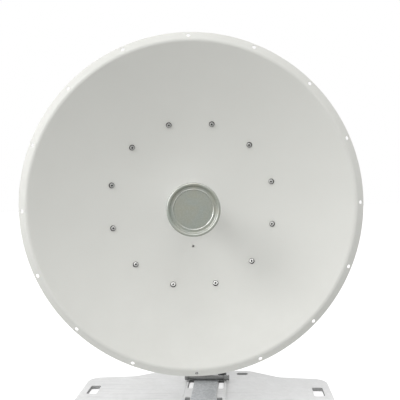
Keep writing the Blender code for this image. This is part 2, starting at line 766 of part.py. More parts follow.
def screw_line(index, start, end):
    """Two points on the axis of one bowl screw, measured out of the bowl's face."""
    angle = math.pi * (2 * index + 1) / SCREWS
    slope = math.atan(bowl_slope(SCREW_CIRCLE))
    outward = Vector((math.sin(angle), math.cos(angle), 0))
    seat = outward * SCREW_CIRCLE + Vector((0, 0, -bowl_depth(SCREW_CIRCLE)))
    normal = Vector((0, 0, math.cos(slope))) - outward * math.sin(slope)
    return seat + normal * start, seat + normal * end


def make_bowl_screw(index, dish):
    """A pan-head screw with its nut behind the mounting ring."""
    name = f"bowl_screw_{index + 1:02d}"
    behind = -SHEET - GAP - RING_SHEET - GAP
    profile = [(radius, GAP + height) for radius, height in SCREW_HEAD]
    profile += [
        (SCREW_SHANK, GAP),
        (SCREW_SHANK, behind),
        (SCREW_NUT_RADIUS, behind),
        (SCREW_NUT_RADIUS, behind - SCREW_NUT_HEIGHT),
        (0, behind - SCREW_NUT_HEIGHT),
    ]
    screw = turned(name, profile, 10)
    seat, tip = screw_line(index, 0, 1)
    normal = (tip - seat).normalized()
    rotation = normal.to_track_quat("Z", "Y").to_euler()
    dress(screw, "stainless", dish, seat, rotation)


def make_mounting_ring(dish):
    """A hat-section ring that follows the bowl's back and carries the rear plate."""
    radii = spread(RING_WALL, RING_OUTER, 5)
    front = [(r, -bowl_back(r) - GAP) for r in radii]
    outer_wall = RING_WALL + RING_SHEET
    rear = [(r, -bowl_back(r) - GAP - RING_SHEET * RING_SLANT) for r in spread(RING_OUTER, outer_wall, 5)]
    rest = [
        (outer_wall, -RING_BACK),
        (RING_INNER, -RING_BACK),
        (RING_INNER, -RING_BACK + RING_SHEET),
        (RING_WALL, -RING_BACK + RING_SHEET),
    ]
    ring = turned("mounting_ring", front + rear + rest, RING_STEPS, closed=True)
    dress(ring, "galvanised", dish)
    holes = bmesh.new()
    for i in range(SCREWS):
        add_cylinder(holes, SCREW_HOLE_RADIUS, *screw_line(i, -HOLE_REACH, 0), 10)
    combine(ring, tool("mounting_ring_holes", holes), "DIFFERENCE", dish)


def make_rear_plate(dish):
    """The plate across the ring that the tilt ears are bolted to."""
    outline = box_outline(*REAR_PLATE_HALF, REAR_PLATE_ROUND)
    mesh = outline_mesh("rear_plate", [outline], REAR_PLATE_SHEET)
    plate = bpy.data.objects.new("rear_plate", mesh)
    centre = -RING_BACK - GAP - REAR_PLATE_SHEET / 2
    dress(plate, "galvanised", dish, (0, 0, centre))
    heads = bmesh.new()
    face = -REAR_FACE
    for x, y in corners_of(REAR_BOLT_AT):
        add_cylinder(heads, M8[0], (x, y, face + HEAD_LAP), (x, y, face - M8[1]), 6)
    combine(plate, tool("rear_plate_heads", heads), "UNION", dish)
    hole = bmesh.new()
    near = face - HOLE_REACH
    far = face + HOLE_REACH
    add_cylinder(hole, HUB_RADIUS + REAR_PLATE_SLACK, (0, 0, near), (0, 0, far), 32)
    combine(plate, tool("rear_plate_hole", hole), "DIFFERENCE", dish)


def make_feed(dish):
    """Collar, tube, horn body, cap and face disc, from the bowl outwards."""
    seat = -bowl_depth(0)
    bore = TUBE_RADIUS + GAP
    collar = [(radius, seat + height) for radius, height in COLLAR]
    collar = [(bore, collar[0][1])] + collar + [(collar[-1][0], seat + GAP), (bore, seat + GAP)]
    dress(turned("feed_collar", collar, 40, closed=True), "cast_aluminium", dish)

    tube_start = -bowl_back(0) - TUBE_TAIL
    inner = TUBE_RADIUS - TUBE_WALL
    tube = [
        (inner, TUBE_FRONT),
        (TUBE_RADIUS, TUBE_FRONT),
        (TUBE_RADIUS, tube_start),
        (inner, tube_start),
    ]
    dress(turned("feed_tube", tube, 40, closed=True), "cast_aluminium", dish)

    horn = [
        (0, HORN_FRONT),
        (HORN_RADIUS, HORN_FRONT),
        (HORN_RADIUS, HORN_SHOULDER),
        *HORN_NECK,
        (bore, HORN_NECK[-1][1]),
        (bore, TUBE_FRONT + GAP),
        (0, TUBE_FRONT + GAP),
    ]
    dress(turned("feed_horn", horn, 40), "feed_plastic", dish)

    skirt = FEED_FACE - CAP_SKIRT
    sleeve = HORN_RADIUS + GAP
    cap = [
        (0, DISC_SEAT),
        (DISC_RADIUS + GAP, DISC_SEAT),
        (DISC_RADIUS + GAP, DISC_FRONT),
        (CAP_STEP_RADIUS, CAP_LEDGE),
        (CAP_LEDGE_RADIUS, CAP_LEDGE),
        (CAP_RECESS_RADIUS, FEED_FACE),
        (CAP_RADIUS - CAP_EDGE, FEED_FACE),
        (CAP_RADIUS, FEED_FACE - CAP_EDGE),
        (CAP_RADIUS, skirt),
        (sleeve, skirt),
        (sleeve, HORN_FRONT + GAP),
        (0, HORN_FRONT + GAP),
    ]
    dress(turned("feed_cap", cap, 48), "feed_plastic", dish)

    back = DISC_SEAT + GAP
    disc = [(0, DISC_FRONT), (DISC_RADIUS, DISC_FRONT), (DISC_RADIUS, back), (0, back)]
    dress(turned("feed_face", disc, 48), "feed_plastic", dish)


def make_feed_back(dish):
    """The hub behind the bowl and the two jacks on it."""
    bore = TUBE_RADIUS + GAP
    back = -bowl_back(0)
    hub = [
        (0, back - HUB_BORE_HEIGHT),
        (bore, back - HUB_BORE_HEIGHT),
        (bore, back - GAP),
        (HUB_COLLAR_RADIUS, back - GAP),
        (HUB_COLLAR_RADIUS, back - HUB_COLLAR_HEIGHT),
        (HUB_RADIUS, back - HUB_COLLAR_HEIGHT),
        (HUB_RADIUS, -HUB_END + HUB_CHAMFER),
        (HUB_RADIUS - HUB_CHAMFER, -HUB_END),
        (0, -HUB_END),
    ]
    dress(turned("feed_hub", hub, 40), "cast_aluminium", dish)

    foot_radius, foot_height = JACK_FOOT
    jack = [
        (0, 0),
        (foot_radius, 0),
        (foot_radius, -foot_height),
        (JACK_RADIUS, -foot_height),
        (JACK_RADIUS, -JACK_LENGTH),
        (JACK_RADIUS - JACK_WALL, -JACK_LENGTH),
        (JACK_RADIUS - JACK_WALL, -JACK_LENGTH + JACK_SOCKET),
        (0, -JACK_LENGTH + JACK_SOCKET),
    ]
    for side, name in ((-1, "feed_jack_left"), (1, "feed_jack_right")):
        place = (side * JACK_SPREAD, 0, -HUB_END - GAP)
        dress(turned(name, jack, 20), "brass_plate", dish, place)


def main():
    make_base_plate()
    make_centre_channel()
    make_centre_strap()
    make_cross_rod()
    make_mast()

    swivel = make_frame("azimuth_axis", None, (FOOT_X, MAST_Y, AXIS_HEIGHT), (0, 0, AZIMUTH))
    tilt = make_frame("tilt_axis", swivel, (0, PIVOT_Y, PIVOT_Z))
    centre = (DISH_OFFSET_X, -DISH_STANDOFF - PIVOT_Y, -PIVOT_Z)
    dish = make_frame("dish_centre", tilt, centre, (math.pi / 2, 0, 0))

    make_clamp(swivel)
    make_fork(swivel)
    for side, word in ((-1, "left"), (1, "right")):
        make_pivot_bolt(side, f"pivot_bolt_{word}", swivel)
        make_lock_bolt(side, f"lock_bolt_{word}", tilt)
        make_tilt_ear(side, f"tilt_ear_{word}", tilt)
    make_mounting_ring(dish)
    make_rear_plate(dish)
    make_reflector(dish)
    for index in range(SCREWS):
        make_bowl_screw(index, dish)
    make_feed(dish)
    make_feed_back(dish)


clear_scene()
PARTS = make_collection(NAME)
CUTTERS = make_collection(NAME + "_cutters")
main()
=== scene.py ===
"""Surfaces, fine shapes and studio of a microwave dish antenna on a mast stand."""

import json
import math

import bmesh
import bpy
from bpy.props import FloatProperty, FloatVectorProperty, IntProperty, PointerProperty
from mathutils import Matrix, Vector


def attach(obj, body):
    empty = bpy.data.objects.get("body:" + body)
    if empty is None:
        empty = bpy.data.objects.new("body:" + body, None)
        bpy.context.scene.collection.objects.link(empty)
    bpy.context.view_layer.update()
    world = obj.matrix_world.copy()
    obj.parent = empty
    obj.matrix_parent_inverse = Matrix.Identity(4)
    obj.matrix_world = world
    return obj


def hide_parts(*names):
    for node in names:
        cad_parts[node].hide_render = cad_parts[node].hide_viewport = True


bl_info = {
    "name": "Microwave Dish Antenna",
    "version": (1, 0, 0),
    "blender": (4, 5, 0),
    "location": "3D View > Sidebar > Dish Antenna",
    "description": "Builds the visible pieces of a dish antenna, its finishes and a plain studio",
    "category": "Add Mesh",
}

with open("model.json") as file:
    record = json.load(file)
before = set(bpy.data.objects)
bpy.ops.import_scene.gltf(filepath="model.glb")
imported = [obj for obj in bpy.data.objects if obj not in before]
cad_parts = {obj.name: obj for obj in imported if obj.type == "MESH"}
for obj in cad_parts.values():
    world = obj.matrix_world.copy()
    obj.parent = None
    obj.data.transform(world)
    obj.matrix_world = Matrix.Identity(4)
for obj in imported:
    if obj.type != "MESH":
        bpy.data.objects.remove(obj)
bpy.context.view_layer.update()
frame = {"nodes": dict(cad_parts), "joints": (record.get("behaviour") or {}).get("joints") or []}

MM = 0.001
FULL_TURN = 2 * math.pi
MERGE = 0.01 * MM
FINISH = "_finish"
SMOOTH_ANGLE = math.radians(35)
UP = Vector((0, 0, 1))
WORLD = Matrix.Identity(4)
STAND = Matrix.Rotation(math.pi / 2, 4, "X")
FLIP = Matrix.Rotation(math.pi, 4, "X")
SIDES = ((-1, "left"), (1, "right"))
shift = Matrix.Translation


# Frames of the moving bodies, worked out from the joints and the nodes


def joint(name):
    return next(j for j in frame["joints"] if j["name"] == name)


def node_span(node, matrix=WORLD):
    """Lowest and highest corners of a CAD node, measured along a frame's own axes."""
    inverse = matrix.inverted()
    points = [inverse @ v.co for v in frame["nodes"][node].data.vertices]
    low = Vector([min(p[i] for p in points) for i in range(3)])
    high = Vector([max(p[i] for p in points) for i in range(3)])
    return low, high


def swivel_frame():
    """Origin on the mast's axis at the swivel's height, X along the tilt axis, Z up."""
    across = -Vector(joint("elevation_tilt")["axis"])
    axes = Matrix((across, UP.cross(across), UP)).transposed().to_4x4()
    return shift(joint("azimuth_swivel")["pos_m"]) @ axes


def dish_frame():
    """Origin in the middle of the plane of the bowl's edge, Z out of the front, Y up."""
    low, high = node_span("reflector", SWIVEL)
    centre = Vector(((low.x + high.x) / 2, low.y, (low.z + high.z) / 2))
    return SWIVEL @ shift(centre) @ STAND


SWIVEL = swivel_frame()
DISH = dish_frame()
PIVOT = SWIVEL.inverted() @ Vector(joint("elevation_tilt")["pos_m"])
RIM_RADIUS = node_span("reflector", DISH)[1].x
PLATE_HIGH = node_span("base_plate")[1]
MAST_LOW, MAST_HIGH = node_span("mast")
MAST_X = (MAST_LOW.x + MAST_HIGH.x) / 2
MAST_Y = (MAST_LOW.y + MAST_HIGH.y) / 2
MAST_RADIUS = (MAST_HIGH.x - MAST_LOW.x) / 2
MAST_FRAME = shift((MAST_X, MAST_Y, 0))


# Settings


def length(name, description, millimetres):
    kind = {"unit": "LENGTH", "subtype": "DISTANCE"}
    return FloatProperty(name=name, description=description, default=millimetres * MM, min=0, **kind)


def colour(name, description, rgb):
    kind = {"size": 3, "min": 0, "max": 1, "subtype": "COLOR"}
    return FloatVectorProperty(name=name, description=description, default=rgb, **kind)


def intensity(name, description, value):
    return FloatProperty(name=name, description=description, default=value, min=0)


def number(name, description, value, least=1):
    return IntProperty(name=name, description=description, default=value, min=least)


class ReflectorSettings(bpy.types.PropertyGroup):
    """Sizes of the spun reflector and the screws through it."""

    bowl_radius: length("Bowl radius", "Radius at the bowl's edge", 312.5)
    bowl_depth: length("Bowl depth", "From the plane of the edge to the bottom of the dish", 113)
    seat_radius: length("Seat radius", "Flat middle that the feed stands on", 46)
    sheet: length("Sheet", "Thickness of the spun sheet", 2)
    edge_fillet: length("Edge fillet", "Rounding between the bowl and its flange", 7)
    flange_drop: length("Flange drop", "How far the edge flange slopes back", 9)
    flange_turn: length("Flange turn", "Turned edge behind the flange", 4)
    feed_hole: length("Feed hole", "Radius of the hole for the feed tube", 25.6)
    hole_radius: length("Edge hole", "Radius of the holes in the edge flange", 3.75)
    hole_circle: length("Edge hole circle", "Radius of the circle of edge holes", 322)
    hole_count: number("Edge holes", "Holes in the flange", 16)
    drain_radius: length("Drain", "Radius of the drain hole", 2.4)
    drain_circle: length("Drain distance", "Drain hole below the bowl's middle", 89)
    screw_circle: length("Screw circle", "Radius of the circle of bowl screws", 169.6)
    screw_count: number("Bowl screws", "Screws in the bowl", 12)
    screw_head: length("Screw head", "Radius of a pan head", 5.8)
    steps: number("Steps", "Steps round the bowl", 192, 16)


class FeedSettings(bpy.types.PropertyGroup):
    """Sizes of the feed in the middle of the dish."""

    face_height: length("Face", "Face of the cap in front of the bowl's edge", 93)
    cap_radius: length("Cap radius", "Outer radius of the cap", 46.2)
    recess_radius: length("Recess radius", "Radius of the wide recess at its mouth", 41.9)
    ledge_radius: length("Ledge radius", "Radius of the wide recess at its floor", 39)
    recess_depth: length("Recess depth", "Depth of the wide recess", 5.5)
    step_radius: length("Step radius", "Radius where the ledge ends", 35.7)
    disc_radius: length("Disc radius", "Radius of the face disc", 33)
    disc_depth: length("Disc depth", "Step from the ledge down to the disc", 1)
    tube_radius: length("Tube radius", "Outer radius of the feed tube", 25)
    jack_spread: length("Jack spread", "Distance of a jack from the middle", 11.5)
    jack_radius: length("Jack radius", "Outer radius of a jack's thread", 8)
    jack_length: length("Jack length", "Length of a jack", 17)


class BracketSettings(bpy.types.PropertyGroup):
    """Sizes of the clamp, fork and ears that aim the dish."""

    fork_sheet: length("Fork sheet", "Thickness of the fork", 4)
    fork_ear: length("Fork ear", "Inner side of a fork ear from the middle", 69)
    fork_web: length("Fork web", "Distance of the web from the mast's axis", 46)
    fork_front: length("Fork front", "Front of the fork from the mast's axis", 98)
    fork_height: length("Fork height", "Half the height of the web", 42)
    ear_place: length("Tilt ear", "Inner side of a tilt ear from the middle", 60)
    ear_flange: length("Ear flange", "Outer end of a tilt ear's flange", 98)
    lock_radius: length("Lock radius", "Lock bolt above the pivot", 38)
    clamp_bolt_x: length("Clamp bolt X", "Clamp bolt beside the mast's axis", 37)
    clamp_bolt_z: length("Clamp bolt Z", "Clamp bolt above the clamp's middle", 27)


class FootSettings(bpy.types.PropertyGroup):
    """Sizes of the channel, strap, cross rod and mast that stand on the base plate."""

    row_x: length("Slot row", "Row of centre slots beside the foot's middle", 34.4)
    slot_width: length("Centre slot", "Width of a centre slot", 12)
    end_length: length("End slot", "Length of an end slot", 54)
    end_y: length("End slot Y", "End slot from the middle", 95)
    middle_length: length("Middle slot", "Length of a middle slot", 50)
    channel_sheet: length("Channel sheet", "Thickness of the channel", 2)
    rod_radius: length("Rod radius", "Radius of the cross rod", 5)
    rod_nut: length("Rod nut", "Length of a nut on the rod", 8)
    flange_sheet: length("Flange sheet", "Thickness of the mast's flange", 8)
    flange_bolt_x: length("Flange bolt X", "Flange bolt beside the mast's axis", 36)
    flange_bolt_y: length("Flange bolt Y", "Flange bolt behind the mast's axis", 20)
    mast_wall: length("Mast wall", "Thickness of the mast's wall", 3.2)


class PlateSettings(bpy.types.PropertyGroup):
    """Sizes of the slotted base plate."""

    wing_edge: length("Wing edge", "Half depth of the plate at its sides", 127)
    shoulder_x: length("Shoulder X", "Where the shoulder starts", 172)
    shoulder_y: length("Shoulder Y", "Half depth where the shoulder starts", 137.5)
    hump_x: length("Hump X", "Where the hump starts", 104)
    hump_y: length("Hump Y", "Half depth at the hump", 173.5)
    lobe_x: length("Lobe X", "Half width of the lobe under the mast", 54)
    edge_round: length("Edge round", "Rounding of the plate's cut edges", 0.8)
    slot_width: length("Slot width", "Width of a corner slot", 23)
    slot_depth: length("Slot depth", "Depth of a corner slot", 42)
    slot_x: length("Slot X", "Corner slot beside the middle", 251.5)
    slot_y: length("Slot Y", "Corner slot behind the middle", 61)
    hump_slot_width: length("Hump slot width", "Width of a hump slot", 27)
    hump_slot_depth: length("Hump slot depth", "Depth of a hump slot", 12.6)
    hump_slot_x: length("Hump slot X", "Hump slot beside the middle", 85.5)
    hump_slot_y: length("Hump slot Y", "Hump slot behind the middle", 155.6)


class FinishSettings(bpy.types.PropertyGroup):
    """Colours of the finishes."""

    coat: colour("Coat", "Powder coat of the reflector", (0.757, 0.76, 0.721))
    zinc: colour("Zinc", "Hot-dip zinc of the plate and bracket", (0.845, 0.848, 0.85))
    spangle: colour("Spangle", "Darker spangled zinc of the strap", (0.565, 0.59, 0.61))
    black: colour("Black", "Black coated steel", (0.028, 0.030, 0.031))
    rod: colour("Rod", "Rubbed steel of the cross rod", (0.275, 0.28, 0.277))
    screw: colour("Screw", "Bright steel of the bowl screws", (0.66, 0.66, 0.64))
    steel: colour("Steel", "Stainless fasteners", (0.40, 0.40, 0.39))
    casting: colour("Casting", "Cast aluminium", (0.46, 0.47, 0.48))
    plastic: colour("Plastic", "Moulded plastic of the feed", (0.322, 0.341, 0.294))
    rubber: colour("Rubber", "Cap of the mast", (0.035, 0.035, 0.036))
    brass: colour("Brass", "Plated jacks", (0.62, 0.47, 0.22))


class StageSettings(bpy.types.PropertyGroup):
    """Floor, lights and camera."""

    floor: colour("Floor", "Colour of the floor", (0.50, 0.50, 0.50))
    floor_glow: intensity("Floor glow", "Light of the floor itself", 0.75)
    sky: intensity("Sky", "Strength of the light all round", 0.752)
    key_power: intensity("Key light", "Power of the large light", 21)
    top_power: intensity("Top light", "Power of the light above", 10)
    side_power: intensity("Side light", "Power of the light on the left", 6.2)
    back_power: intensity("Back light", "Power of the light behind", 9)
    gloss_power: intensity("Gloss", "Power of the panels that only glossy faces see", 50)
    lens: FloatProperty(name="Lens", description="Focal length, mm", default=43.2, min=1)
    camera_place: FloatVectorProperty(
        name="Camera place",
        description="Where the camera stands",
        default=(0.0864, -0.9895, 0.478),
        size=3,
        subtype="TRANSLATION",
        unit="LENGTH",
    )
    camera_turn: FloatVectorProperty(
        name="Camera turn",
        description="Turn about Z, dip and roll",
        default=(math.radians(4.612), math.radians(2.364), math.radians(-1.457)),
        size=3,
        subtype="EULER",
        unit="ROTATION",
    )


class AntennaSettings(bpy.types.PropertyGroup):
    """All the settings of the antenna."""

    reflector: PointerProperty(type=ReflectorSettings)
    feed: PointerProperty(type=FeedSettings)
    bracket: PointerProperty(type=BracketSettings)
    foot: PointerProperty(type=FootSettings)
    plate: PointerProperty(type=PlateSettings)
    finish: PointerProperty(type=FinishSettings)
    stage: PointerProperty(type=StageSettings)


def settings():
    return bpy.context.scene.antenna


# Modelling


def deselect():
    if bpy.context.mode != "OBJECT":
        bpy.ops.object.mode_set(mode="OBJECT")
    bpy.ops.object.select_all(action="DESELECT")


def pick(obj):
    """Make one object the selected and active one."""
    deselect()
    obj.select_set(True)
    bpy.context.view_layer.objects.active = obj
    return obj


def new_name(obj, name):
    obj.name = name
    obj.data.name = name
    return obj


def lift(height):
    return shift((0, 0, height))


def four(x, y):
    """The four corners of an oblong round the origin."""
    return [(sx * x, sy * y) for sx in (-1, 1) for sy in (-1, 1)]


def start_line(name, point):
    """One vertex, ready to be extruded: a small plane merged at its middle and moved."""
    deselect()
    bpy.ops.mesh.primitive_plane_add(size=MM)
    obj = new_name(bpy.context.object, name)
    bpy.ops.object.mode_set(mode="EDIT")
    bpy.ops.mesh.select_all(action="SELECT")
    bpy.ops.mesh.merge(type="CENTER")
    bpy.ops.transform.translate(value=point)
    return obj


def extrude_along(points):
    """Extrude the selected vertex from point to point."""
    for start, end in zip(points, points[1:]):
        step = Vector(end) - Vector(start)
        bpy.ops.mesh.extrude_region_move(TRANSFORM_OT_translate={"value": step})


def tidy_mesh():
    """Weld what meets, turn the faces outwards and leave edit mode."""
    bpy.ops.mesh.select_all(action="SELECT")
    bpy.ops.mesh.remove_doubles(threshold=MERGE)
    bpy.ops.mesh.normals_make_consistent(inside=False)
    bpy.ops.object.mode_set(mode="OBJECT")


def lathe(name, profile, steps=96, closed=False):
    """A profile of (radius, height) spun once round Z."""
    line = [Vector((radius, 0, height)) for radius, height in profile]
    if closed:
        line.append(line[0])
    obj = start_line(name, line[0])
    extrude_along(line)
    bpy.ops.mesh.select_all(action="SELECT")
    bpy.ops.mesh.spin(steps=steps, angle=FULL_TURN, center=(0, 0, 0), axis=(0, 0, 1))
    tidy_mesh()
    return obj


def select_near(obj, point):
    """In edit mode, select only the vertices at a point."""
    bm = bmesh.from_edit_mesh(obj.data)
    for vert in bm.verts:
        vert.select = (vert.co - Vector(point)).length < MERGE
    bm.select_flush_mode()
    bmesh.update_edit_mesh(obj.data)


def plate(name, corners, thickness, segments=10):
    """A flat piece standing on Z = 0: corners are (x, y, radius), each rounded in turn."""
    line = [Vector((x, y, 0)) for x, y, radius in corners]
    obj = start_line(name, line[0])
    extrude_along(line)
    bpy.ops.mesh.select_all(action="SELECT")
    bpy.ops.mesh.edge_face_add()
    bpy.ops.mesh.select_mode(type="VERT")
    for i, (x, y, radius) in enumerate(corners):
        if radius == 0:
            continue
        before = line[i - 1] - line[i]
        after = line[(i + 1) % len(line)] - line[i]
        reach = radius / math.tan(before.angle(after) / 2)
        select_near(obj, line[i])
        bpy.ops.mesh.bevel(offset=reach, affect="VERTICES", segments=segments, profile=0.5)
    bpy.ops.mesh.select_all(action="SELECT")
    bpy.ops.mesh.extrude_region_move(TRANSFORM_OT_translate={"value": (0, 0, thickness)})
    tidy_mesh()
    return obj


def box_corners(half_x, half_y, radius, centre=(0, 0)):
    left, right = centre[0] - half_x, centre[0] + half_x
    front, back = centre[1] - half_y, centre[1] + half_y
    return [(left, front, radius), (right, front, radius), (right, back, radius), (left, back, radius)]


def cylinder(name, radius, start, end, sides=32, turn=0.0):
    """A cylinder between two points, turned about its own axis."""
    deselect()
    start = Vector(start)
    axis = Vector(end) - start
    bpy.ops.mesh.primitive_cylinder_add(vertices=sides, radius=radius, depth=axis.length)
    obj = new_name(bpy.context.object, name)
    spin = Matrix.Rotation(turn, 4, "Z")
    lie = axis.to_track_quat("Z", "Y").to_matrix().to_4x4()
    return settle(obj, shift(start + axis / 2) @ lie @ spin)


def settle(obj, matrix):
    """Move an object and put its place into its mesh."""
    pick(obj)
    obj.matrix_world = matrix @ obj.matrix_world
    bpy.ops.object.transform_apply(location=True, rotation=True, scale=True)
    return obj


def join(name, objects):
    """Join several objects into one."""
    pick(objects[0])
    for obj in objects:
        obj.select_set(True)
    bpy.ops.object.join()
    return new_name(bpy.context.object, name)


def copy_of(obj, name, matrix):
    """A copy with a mesh of its own, placed by a matrix."""
    pick(obj)
    bpy.ops.object.duplicate(linked=False)
    return settle(new_name(bpy.context.object, name), matrix)


def apply_modifier(obj, name, kind, **values):
    pick(obj)
    modifier = obj.modifiers.new(name, kind)
    for key, value in values.items():
        setattr(modifier, key, value)
    bpy.ops.object.modifier_apply(modifier=name)
    return obj


def combine(obj, other, operation="DIFFERENCE"):
    """Boolean another object into this one and remove it."""
    apply_modifier(obj, "Boolean", "BOOLEAN", operation=operation, object=other, solver="EXACT")
    bpy.data.objects.remove(other)
    return obj


def round_edges(obj, width, segments=3, angle=40):
    """Round every edge that is sharper than an angle."""
    limit = {"limit_method": "ANGLE", "angle_limit": math.radians(angle), "loop_slide": False}
    return apply_modifier(obj, "Bevel", "BEVEL", width=width, segments=segments, **limit)


def shade(obj):
    """Smooth shading that keeps flat faces flat."""
    pick(obj)
    bpy.ops.object.shade_smooth_by_angle(angle=SMOOTH_ANGLE)
    return apply_modifier(obj, "Weighted Normal", "WEIGHTED_NORMAL", keep_sharp=True, weight=60)


def mark_painted_shade(obj, hollow=0.0):
    """Store on each face, as a mask for painted shade, how far it stands up from Z, with 1 on a hollow's
    floor.
    """
    sides = obj.data.attributes.new("Side", "FLOAT", "FACE")
    for polygon, side in zip(obj.data.polygons, sides.data):
        inside = polygon.center.xy.length < hollow
        side.value = 1 if inside else 1 - abs(polygon.normal.z)
    return obj


def finish_piece(obj, body, slot, nodes=(), matrix=WORLD, material=None):
    """Place a modelled piece, give it its finish and let it ride on its body."""
    settle(obj, matrix)
    shade(obj)
    obj.data.materials.clear()
    obj.data.materials.append(bpy.data.materials[(material or slot) + FINISH])
    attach(obj, body)
    if nodes:
        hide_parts(*nodes)
    return obj


# Fasteners


M8 = {"corner": 7.5 * MM, "head": 5.3 * MM, "shank": 4 * MM, "pitch": 1.25 * MM}
M10 = {"corner": 9.2 * MM, "head": 6.4 * MM, "shank": 5 * MM, "pitch": 1.5 * MM}
WASHER = 1.5 * MM


def hex_part(name, size, height, bore=0.0, turn=0.0):
    """A chamfered hexagon standing on Z = 0, with a bore if it is a nut."""
    corner = size["corner"]
    face = corner * math.cos(math.pi / 6) * 0.94
    outer = corner * 1.01
    body = cylinder(name, corner, (0, 0, 0), (0, 0, height), 6, turn)
    drop = (corner - face) * math.tan(math.radians(30))
    profile = [(0, height), (face, height), (outer, height - drop), (outer, -MM), (0, -MM)]
    combine(body, lathe("chamfer", profile, 48), "INTERSECT")
    if bore:
        combine(body, cylinder("bore", bore, (0, 0, -MM), (0, 0, height + MM), 32))
    return round_edges(body, 0.25 * MM, 2)


def washer(name, size):
    """A flat washer standing on Z = 0."""
    inner = size["shank"] + 0.3 * MM
    outer = size["corner"] * 1.12
    ring = [(inner, WASHER), (outer, WASHER), (outer, 0), (inner, 0)]
    return round_edges(lathe(name, ring, 48, closed=True), 0.2 * MM, 2)


def thread(name, size, low, high):
    """A shank with the rolled ridges of a thread, between two heights."""
    crest = size["shank"] - 0.1 * MM
    root = crest - 0.55 * size["pitch"]
    turns = max(2, round((high - low) / size["pitch"]))
    step = (high - low) / turns
    profile = [(0, high), (root - 0.4 * MM, high)]
    for i in range(turns):
        top = high - i * step
        profile += [(root, top - 0.1 * step), (crest, top - 0.45 * step), (crest, top - 0.6 * step)]
    profile += [(root, low), (0, low)]
    return lathe(name, profile, 28)


def hex_bolt(name, size, grip, tail):
    """A bolt along Z: washers on Z = 0 and at -grip, and a tail of thread past its nut."""
    head = settle(hex_part("head", size, size["head"]), lift(WASHER))
    top_washer = washer("top washer", size)
    low_washer = settle(washer("low washer", size), lift(-grip - WASHER))
    nut = hex_part("nut", size, size["head"], size["shank"] - 0.3 * MM, math.radians(17))
    settle(nut, lift(-grip - WASHER) @ FLIP)
    bottom = -grip - WASHER - size["head"] - tail
    rod = thread("shank", size, bottom, WASHER + 0.5 * MM)
    return join(name, [head, top_washer, rod, low_washer, nut])


def along(point, direction):
    """A matrix that puts Z = 0 at a point, with Z along a direction."""
    return shift(point) @ Vector(direction).to_track_quat("Z", "Y").to_matrix().to_4x4()


# Node tools for the finishes


class Wiring:
    """Adds nodes to one tree: an input is a value or another node's socket."""

    def __init__(self, tree):
        self.tree = tree

    def add(self, kind, inputs=(), **values):
        node = self.tree.nodes.new(kind)
        for key, value in values.items():
            setattr(node, key, value)
        for key, value in dict(inputs).items():
            if isinstance(value, bpy.types.NodeSocket):
                self.tree.links.new(value, node.inputs[key])
            else:
                node.inputs[key].default_value = value
        return node

    def math(self, operation, first, second=0.5, clamp=False):
        node = self.add("ShaderNodeMath", {0: first, 1: second}, operation=operation)
        node.use_clamp = clamp
        return node.outputs[0]

    def facing_up(self):
        """How far the surface faces up, from -1 to 1."""
        normal = self.add("ShaderNodeNewGeometry").outputs["Normal"]
        return self.add("ShaderNodeSeparateXYZ", {"Vector": normal}).outputs["Z"]

    def attribute(self, name):
        return self.add("ShaderNodeAttribute", attribute_name=name).outputs["Fac"]

    def remap(self, value, low, high, to_low=0.0, to_high=1.0):
        sockets = {"Value": value, "From Min": low, "From Max": high, "To Min": to_low, "To Max": to_high}
        return self.add("ShaderNodeMapRange", sockets).outputs["Result"]

    def mix(self, factor, first, second):
        node = self.add("ShaderNodeMix", data_type="RGBA")
        for key, value in ((0, factor), (6, first), (7, second)):
            if isinstance(value, bpy.types.NodeSocket):
                self.tree.links.new(value, node.inputs[key])
            elif key == 0:
                node.inputs[key].default_value = value
            else:
                node.inputs[key].default_value = (*value[:3], 1)
        return node.outputs[2]

    def place(self, scale=(1, 1, 1)):
        coordinates = self.add("ShaderNodeTexCoord").outputs["Object"]
        sockets = {"Vector": coordinates, "Scale": scale}
        return self.add("ShaderNodeMapping", sockets).outputs["Vector"]

    def noise(self, vector, scale, detail=4.0, roughness=0.55, distortion=0.0):
        sockets = {"Vector": vector, "Scale": scale, "Detail": detail}
        sockets.update({"Roughness": roughness, "Distortion": distortion})
        return self.add("ShaderNodeTexNoise", sockets).outputs["Fac"]

    def group(self, name, inputs=()):
        return self.add("ShaderNodeGroup", inputs, node_tree=bpy.data.node_groups[name])


def new_group(name, inputs, outputs):
    """A node group: inputs are names with defaults, outputs are names with socket types."""
    tree = bpy.data.node_groups.new(name, "ShaderNodeTree")
    for label, default in inputs.items():
        kind = "NodeSocketColor" if isinstance(default, tuple) else "NodeSocketFloat"
        socket = tree.interface.new_socket(label, in_out="INPUT", socket_type=kind)
        socket.default_value = default
    for label, kind in outputs.items():
        tree.interface.new_socket(label, in_out="OUTPUT", socket_type=kind)
    wiring = Wiring(tree)
    return wiring, wiring.add("NodeGroupInput").outputs


def make_fine_grain():
    """Two sizes of fine noise, for peel, casting skin and moulded plastic."""
    wiring, given = new_group(
        "Fine Grain", {"Scale": 800.0, "Coarse Share": 0.4}, {"Value": "NodeSocketFloat"}
    )
    vector = wiring.place()
    fine = wiring.noise(vector, given["Scale"], 2.0)
    coarse = wiring.noise(vector, wiring.math("MULTIPLY", given["Scale"], 0.31), 3.0)
    weighted = wiring.math("MULTIPLY", wiring.math("SUBTRACT", coarse, fine), given["Coarse Share"])
    wiring.add("NodeGroupOutput", {"Value": wiring.math("ADD", fine, weighted)})


def make_soft_blotches():
    """Large soft patches, from 0 to 1."""
    wiring, given = new_group("Soft Blotches", {"Scale": 9.0}, {"Value": "NodeSocketFloat"})
    cloud = wiring.noise(wiring.place(), given["Scale"], 3.0, 0.5, 0.4)
    wiring.add("NodeGroupOutput", {"Value": wiring.remap(cloud, 0.32, 0.68)})


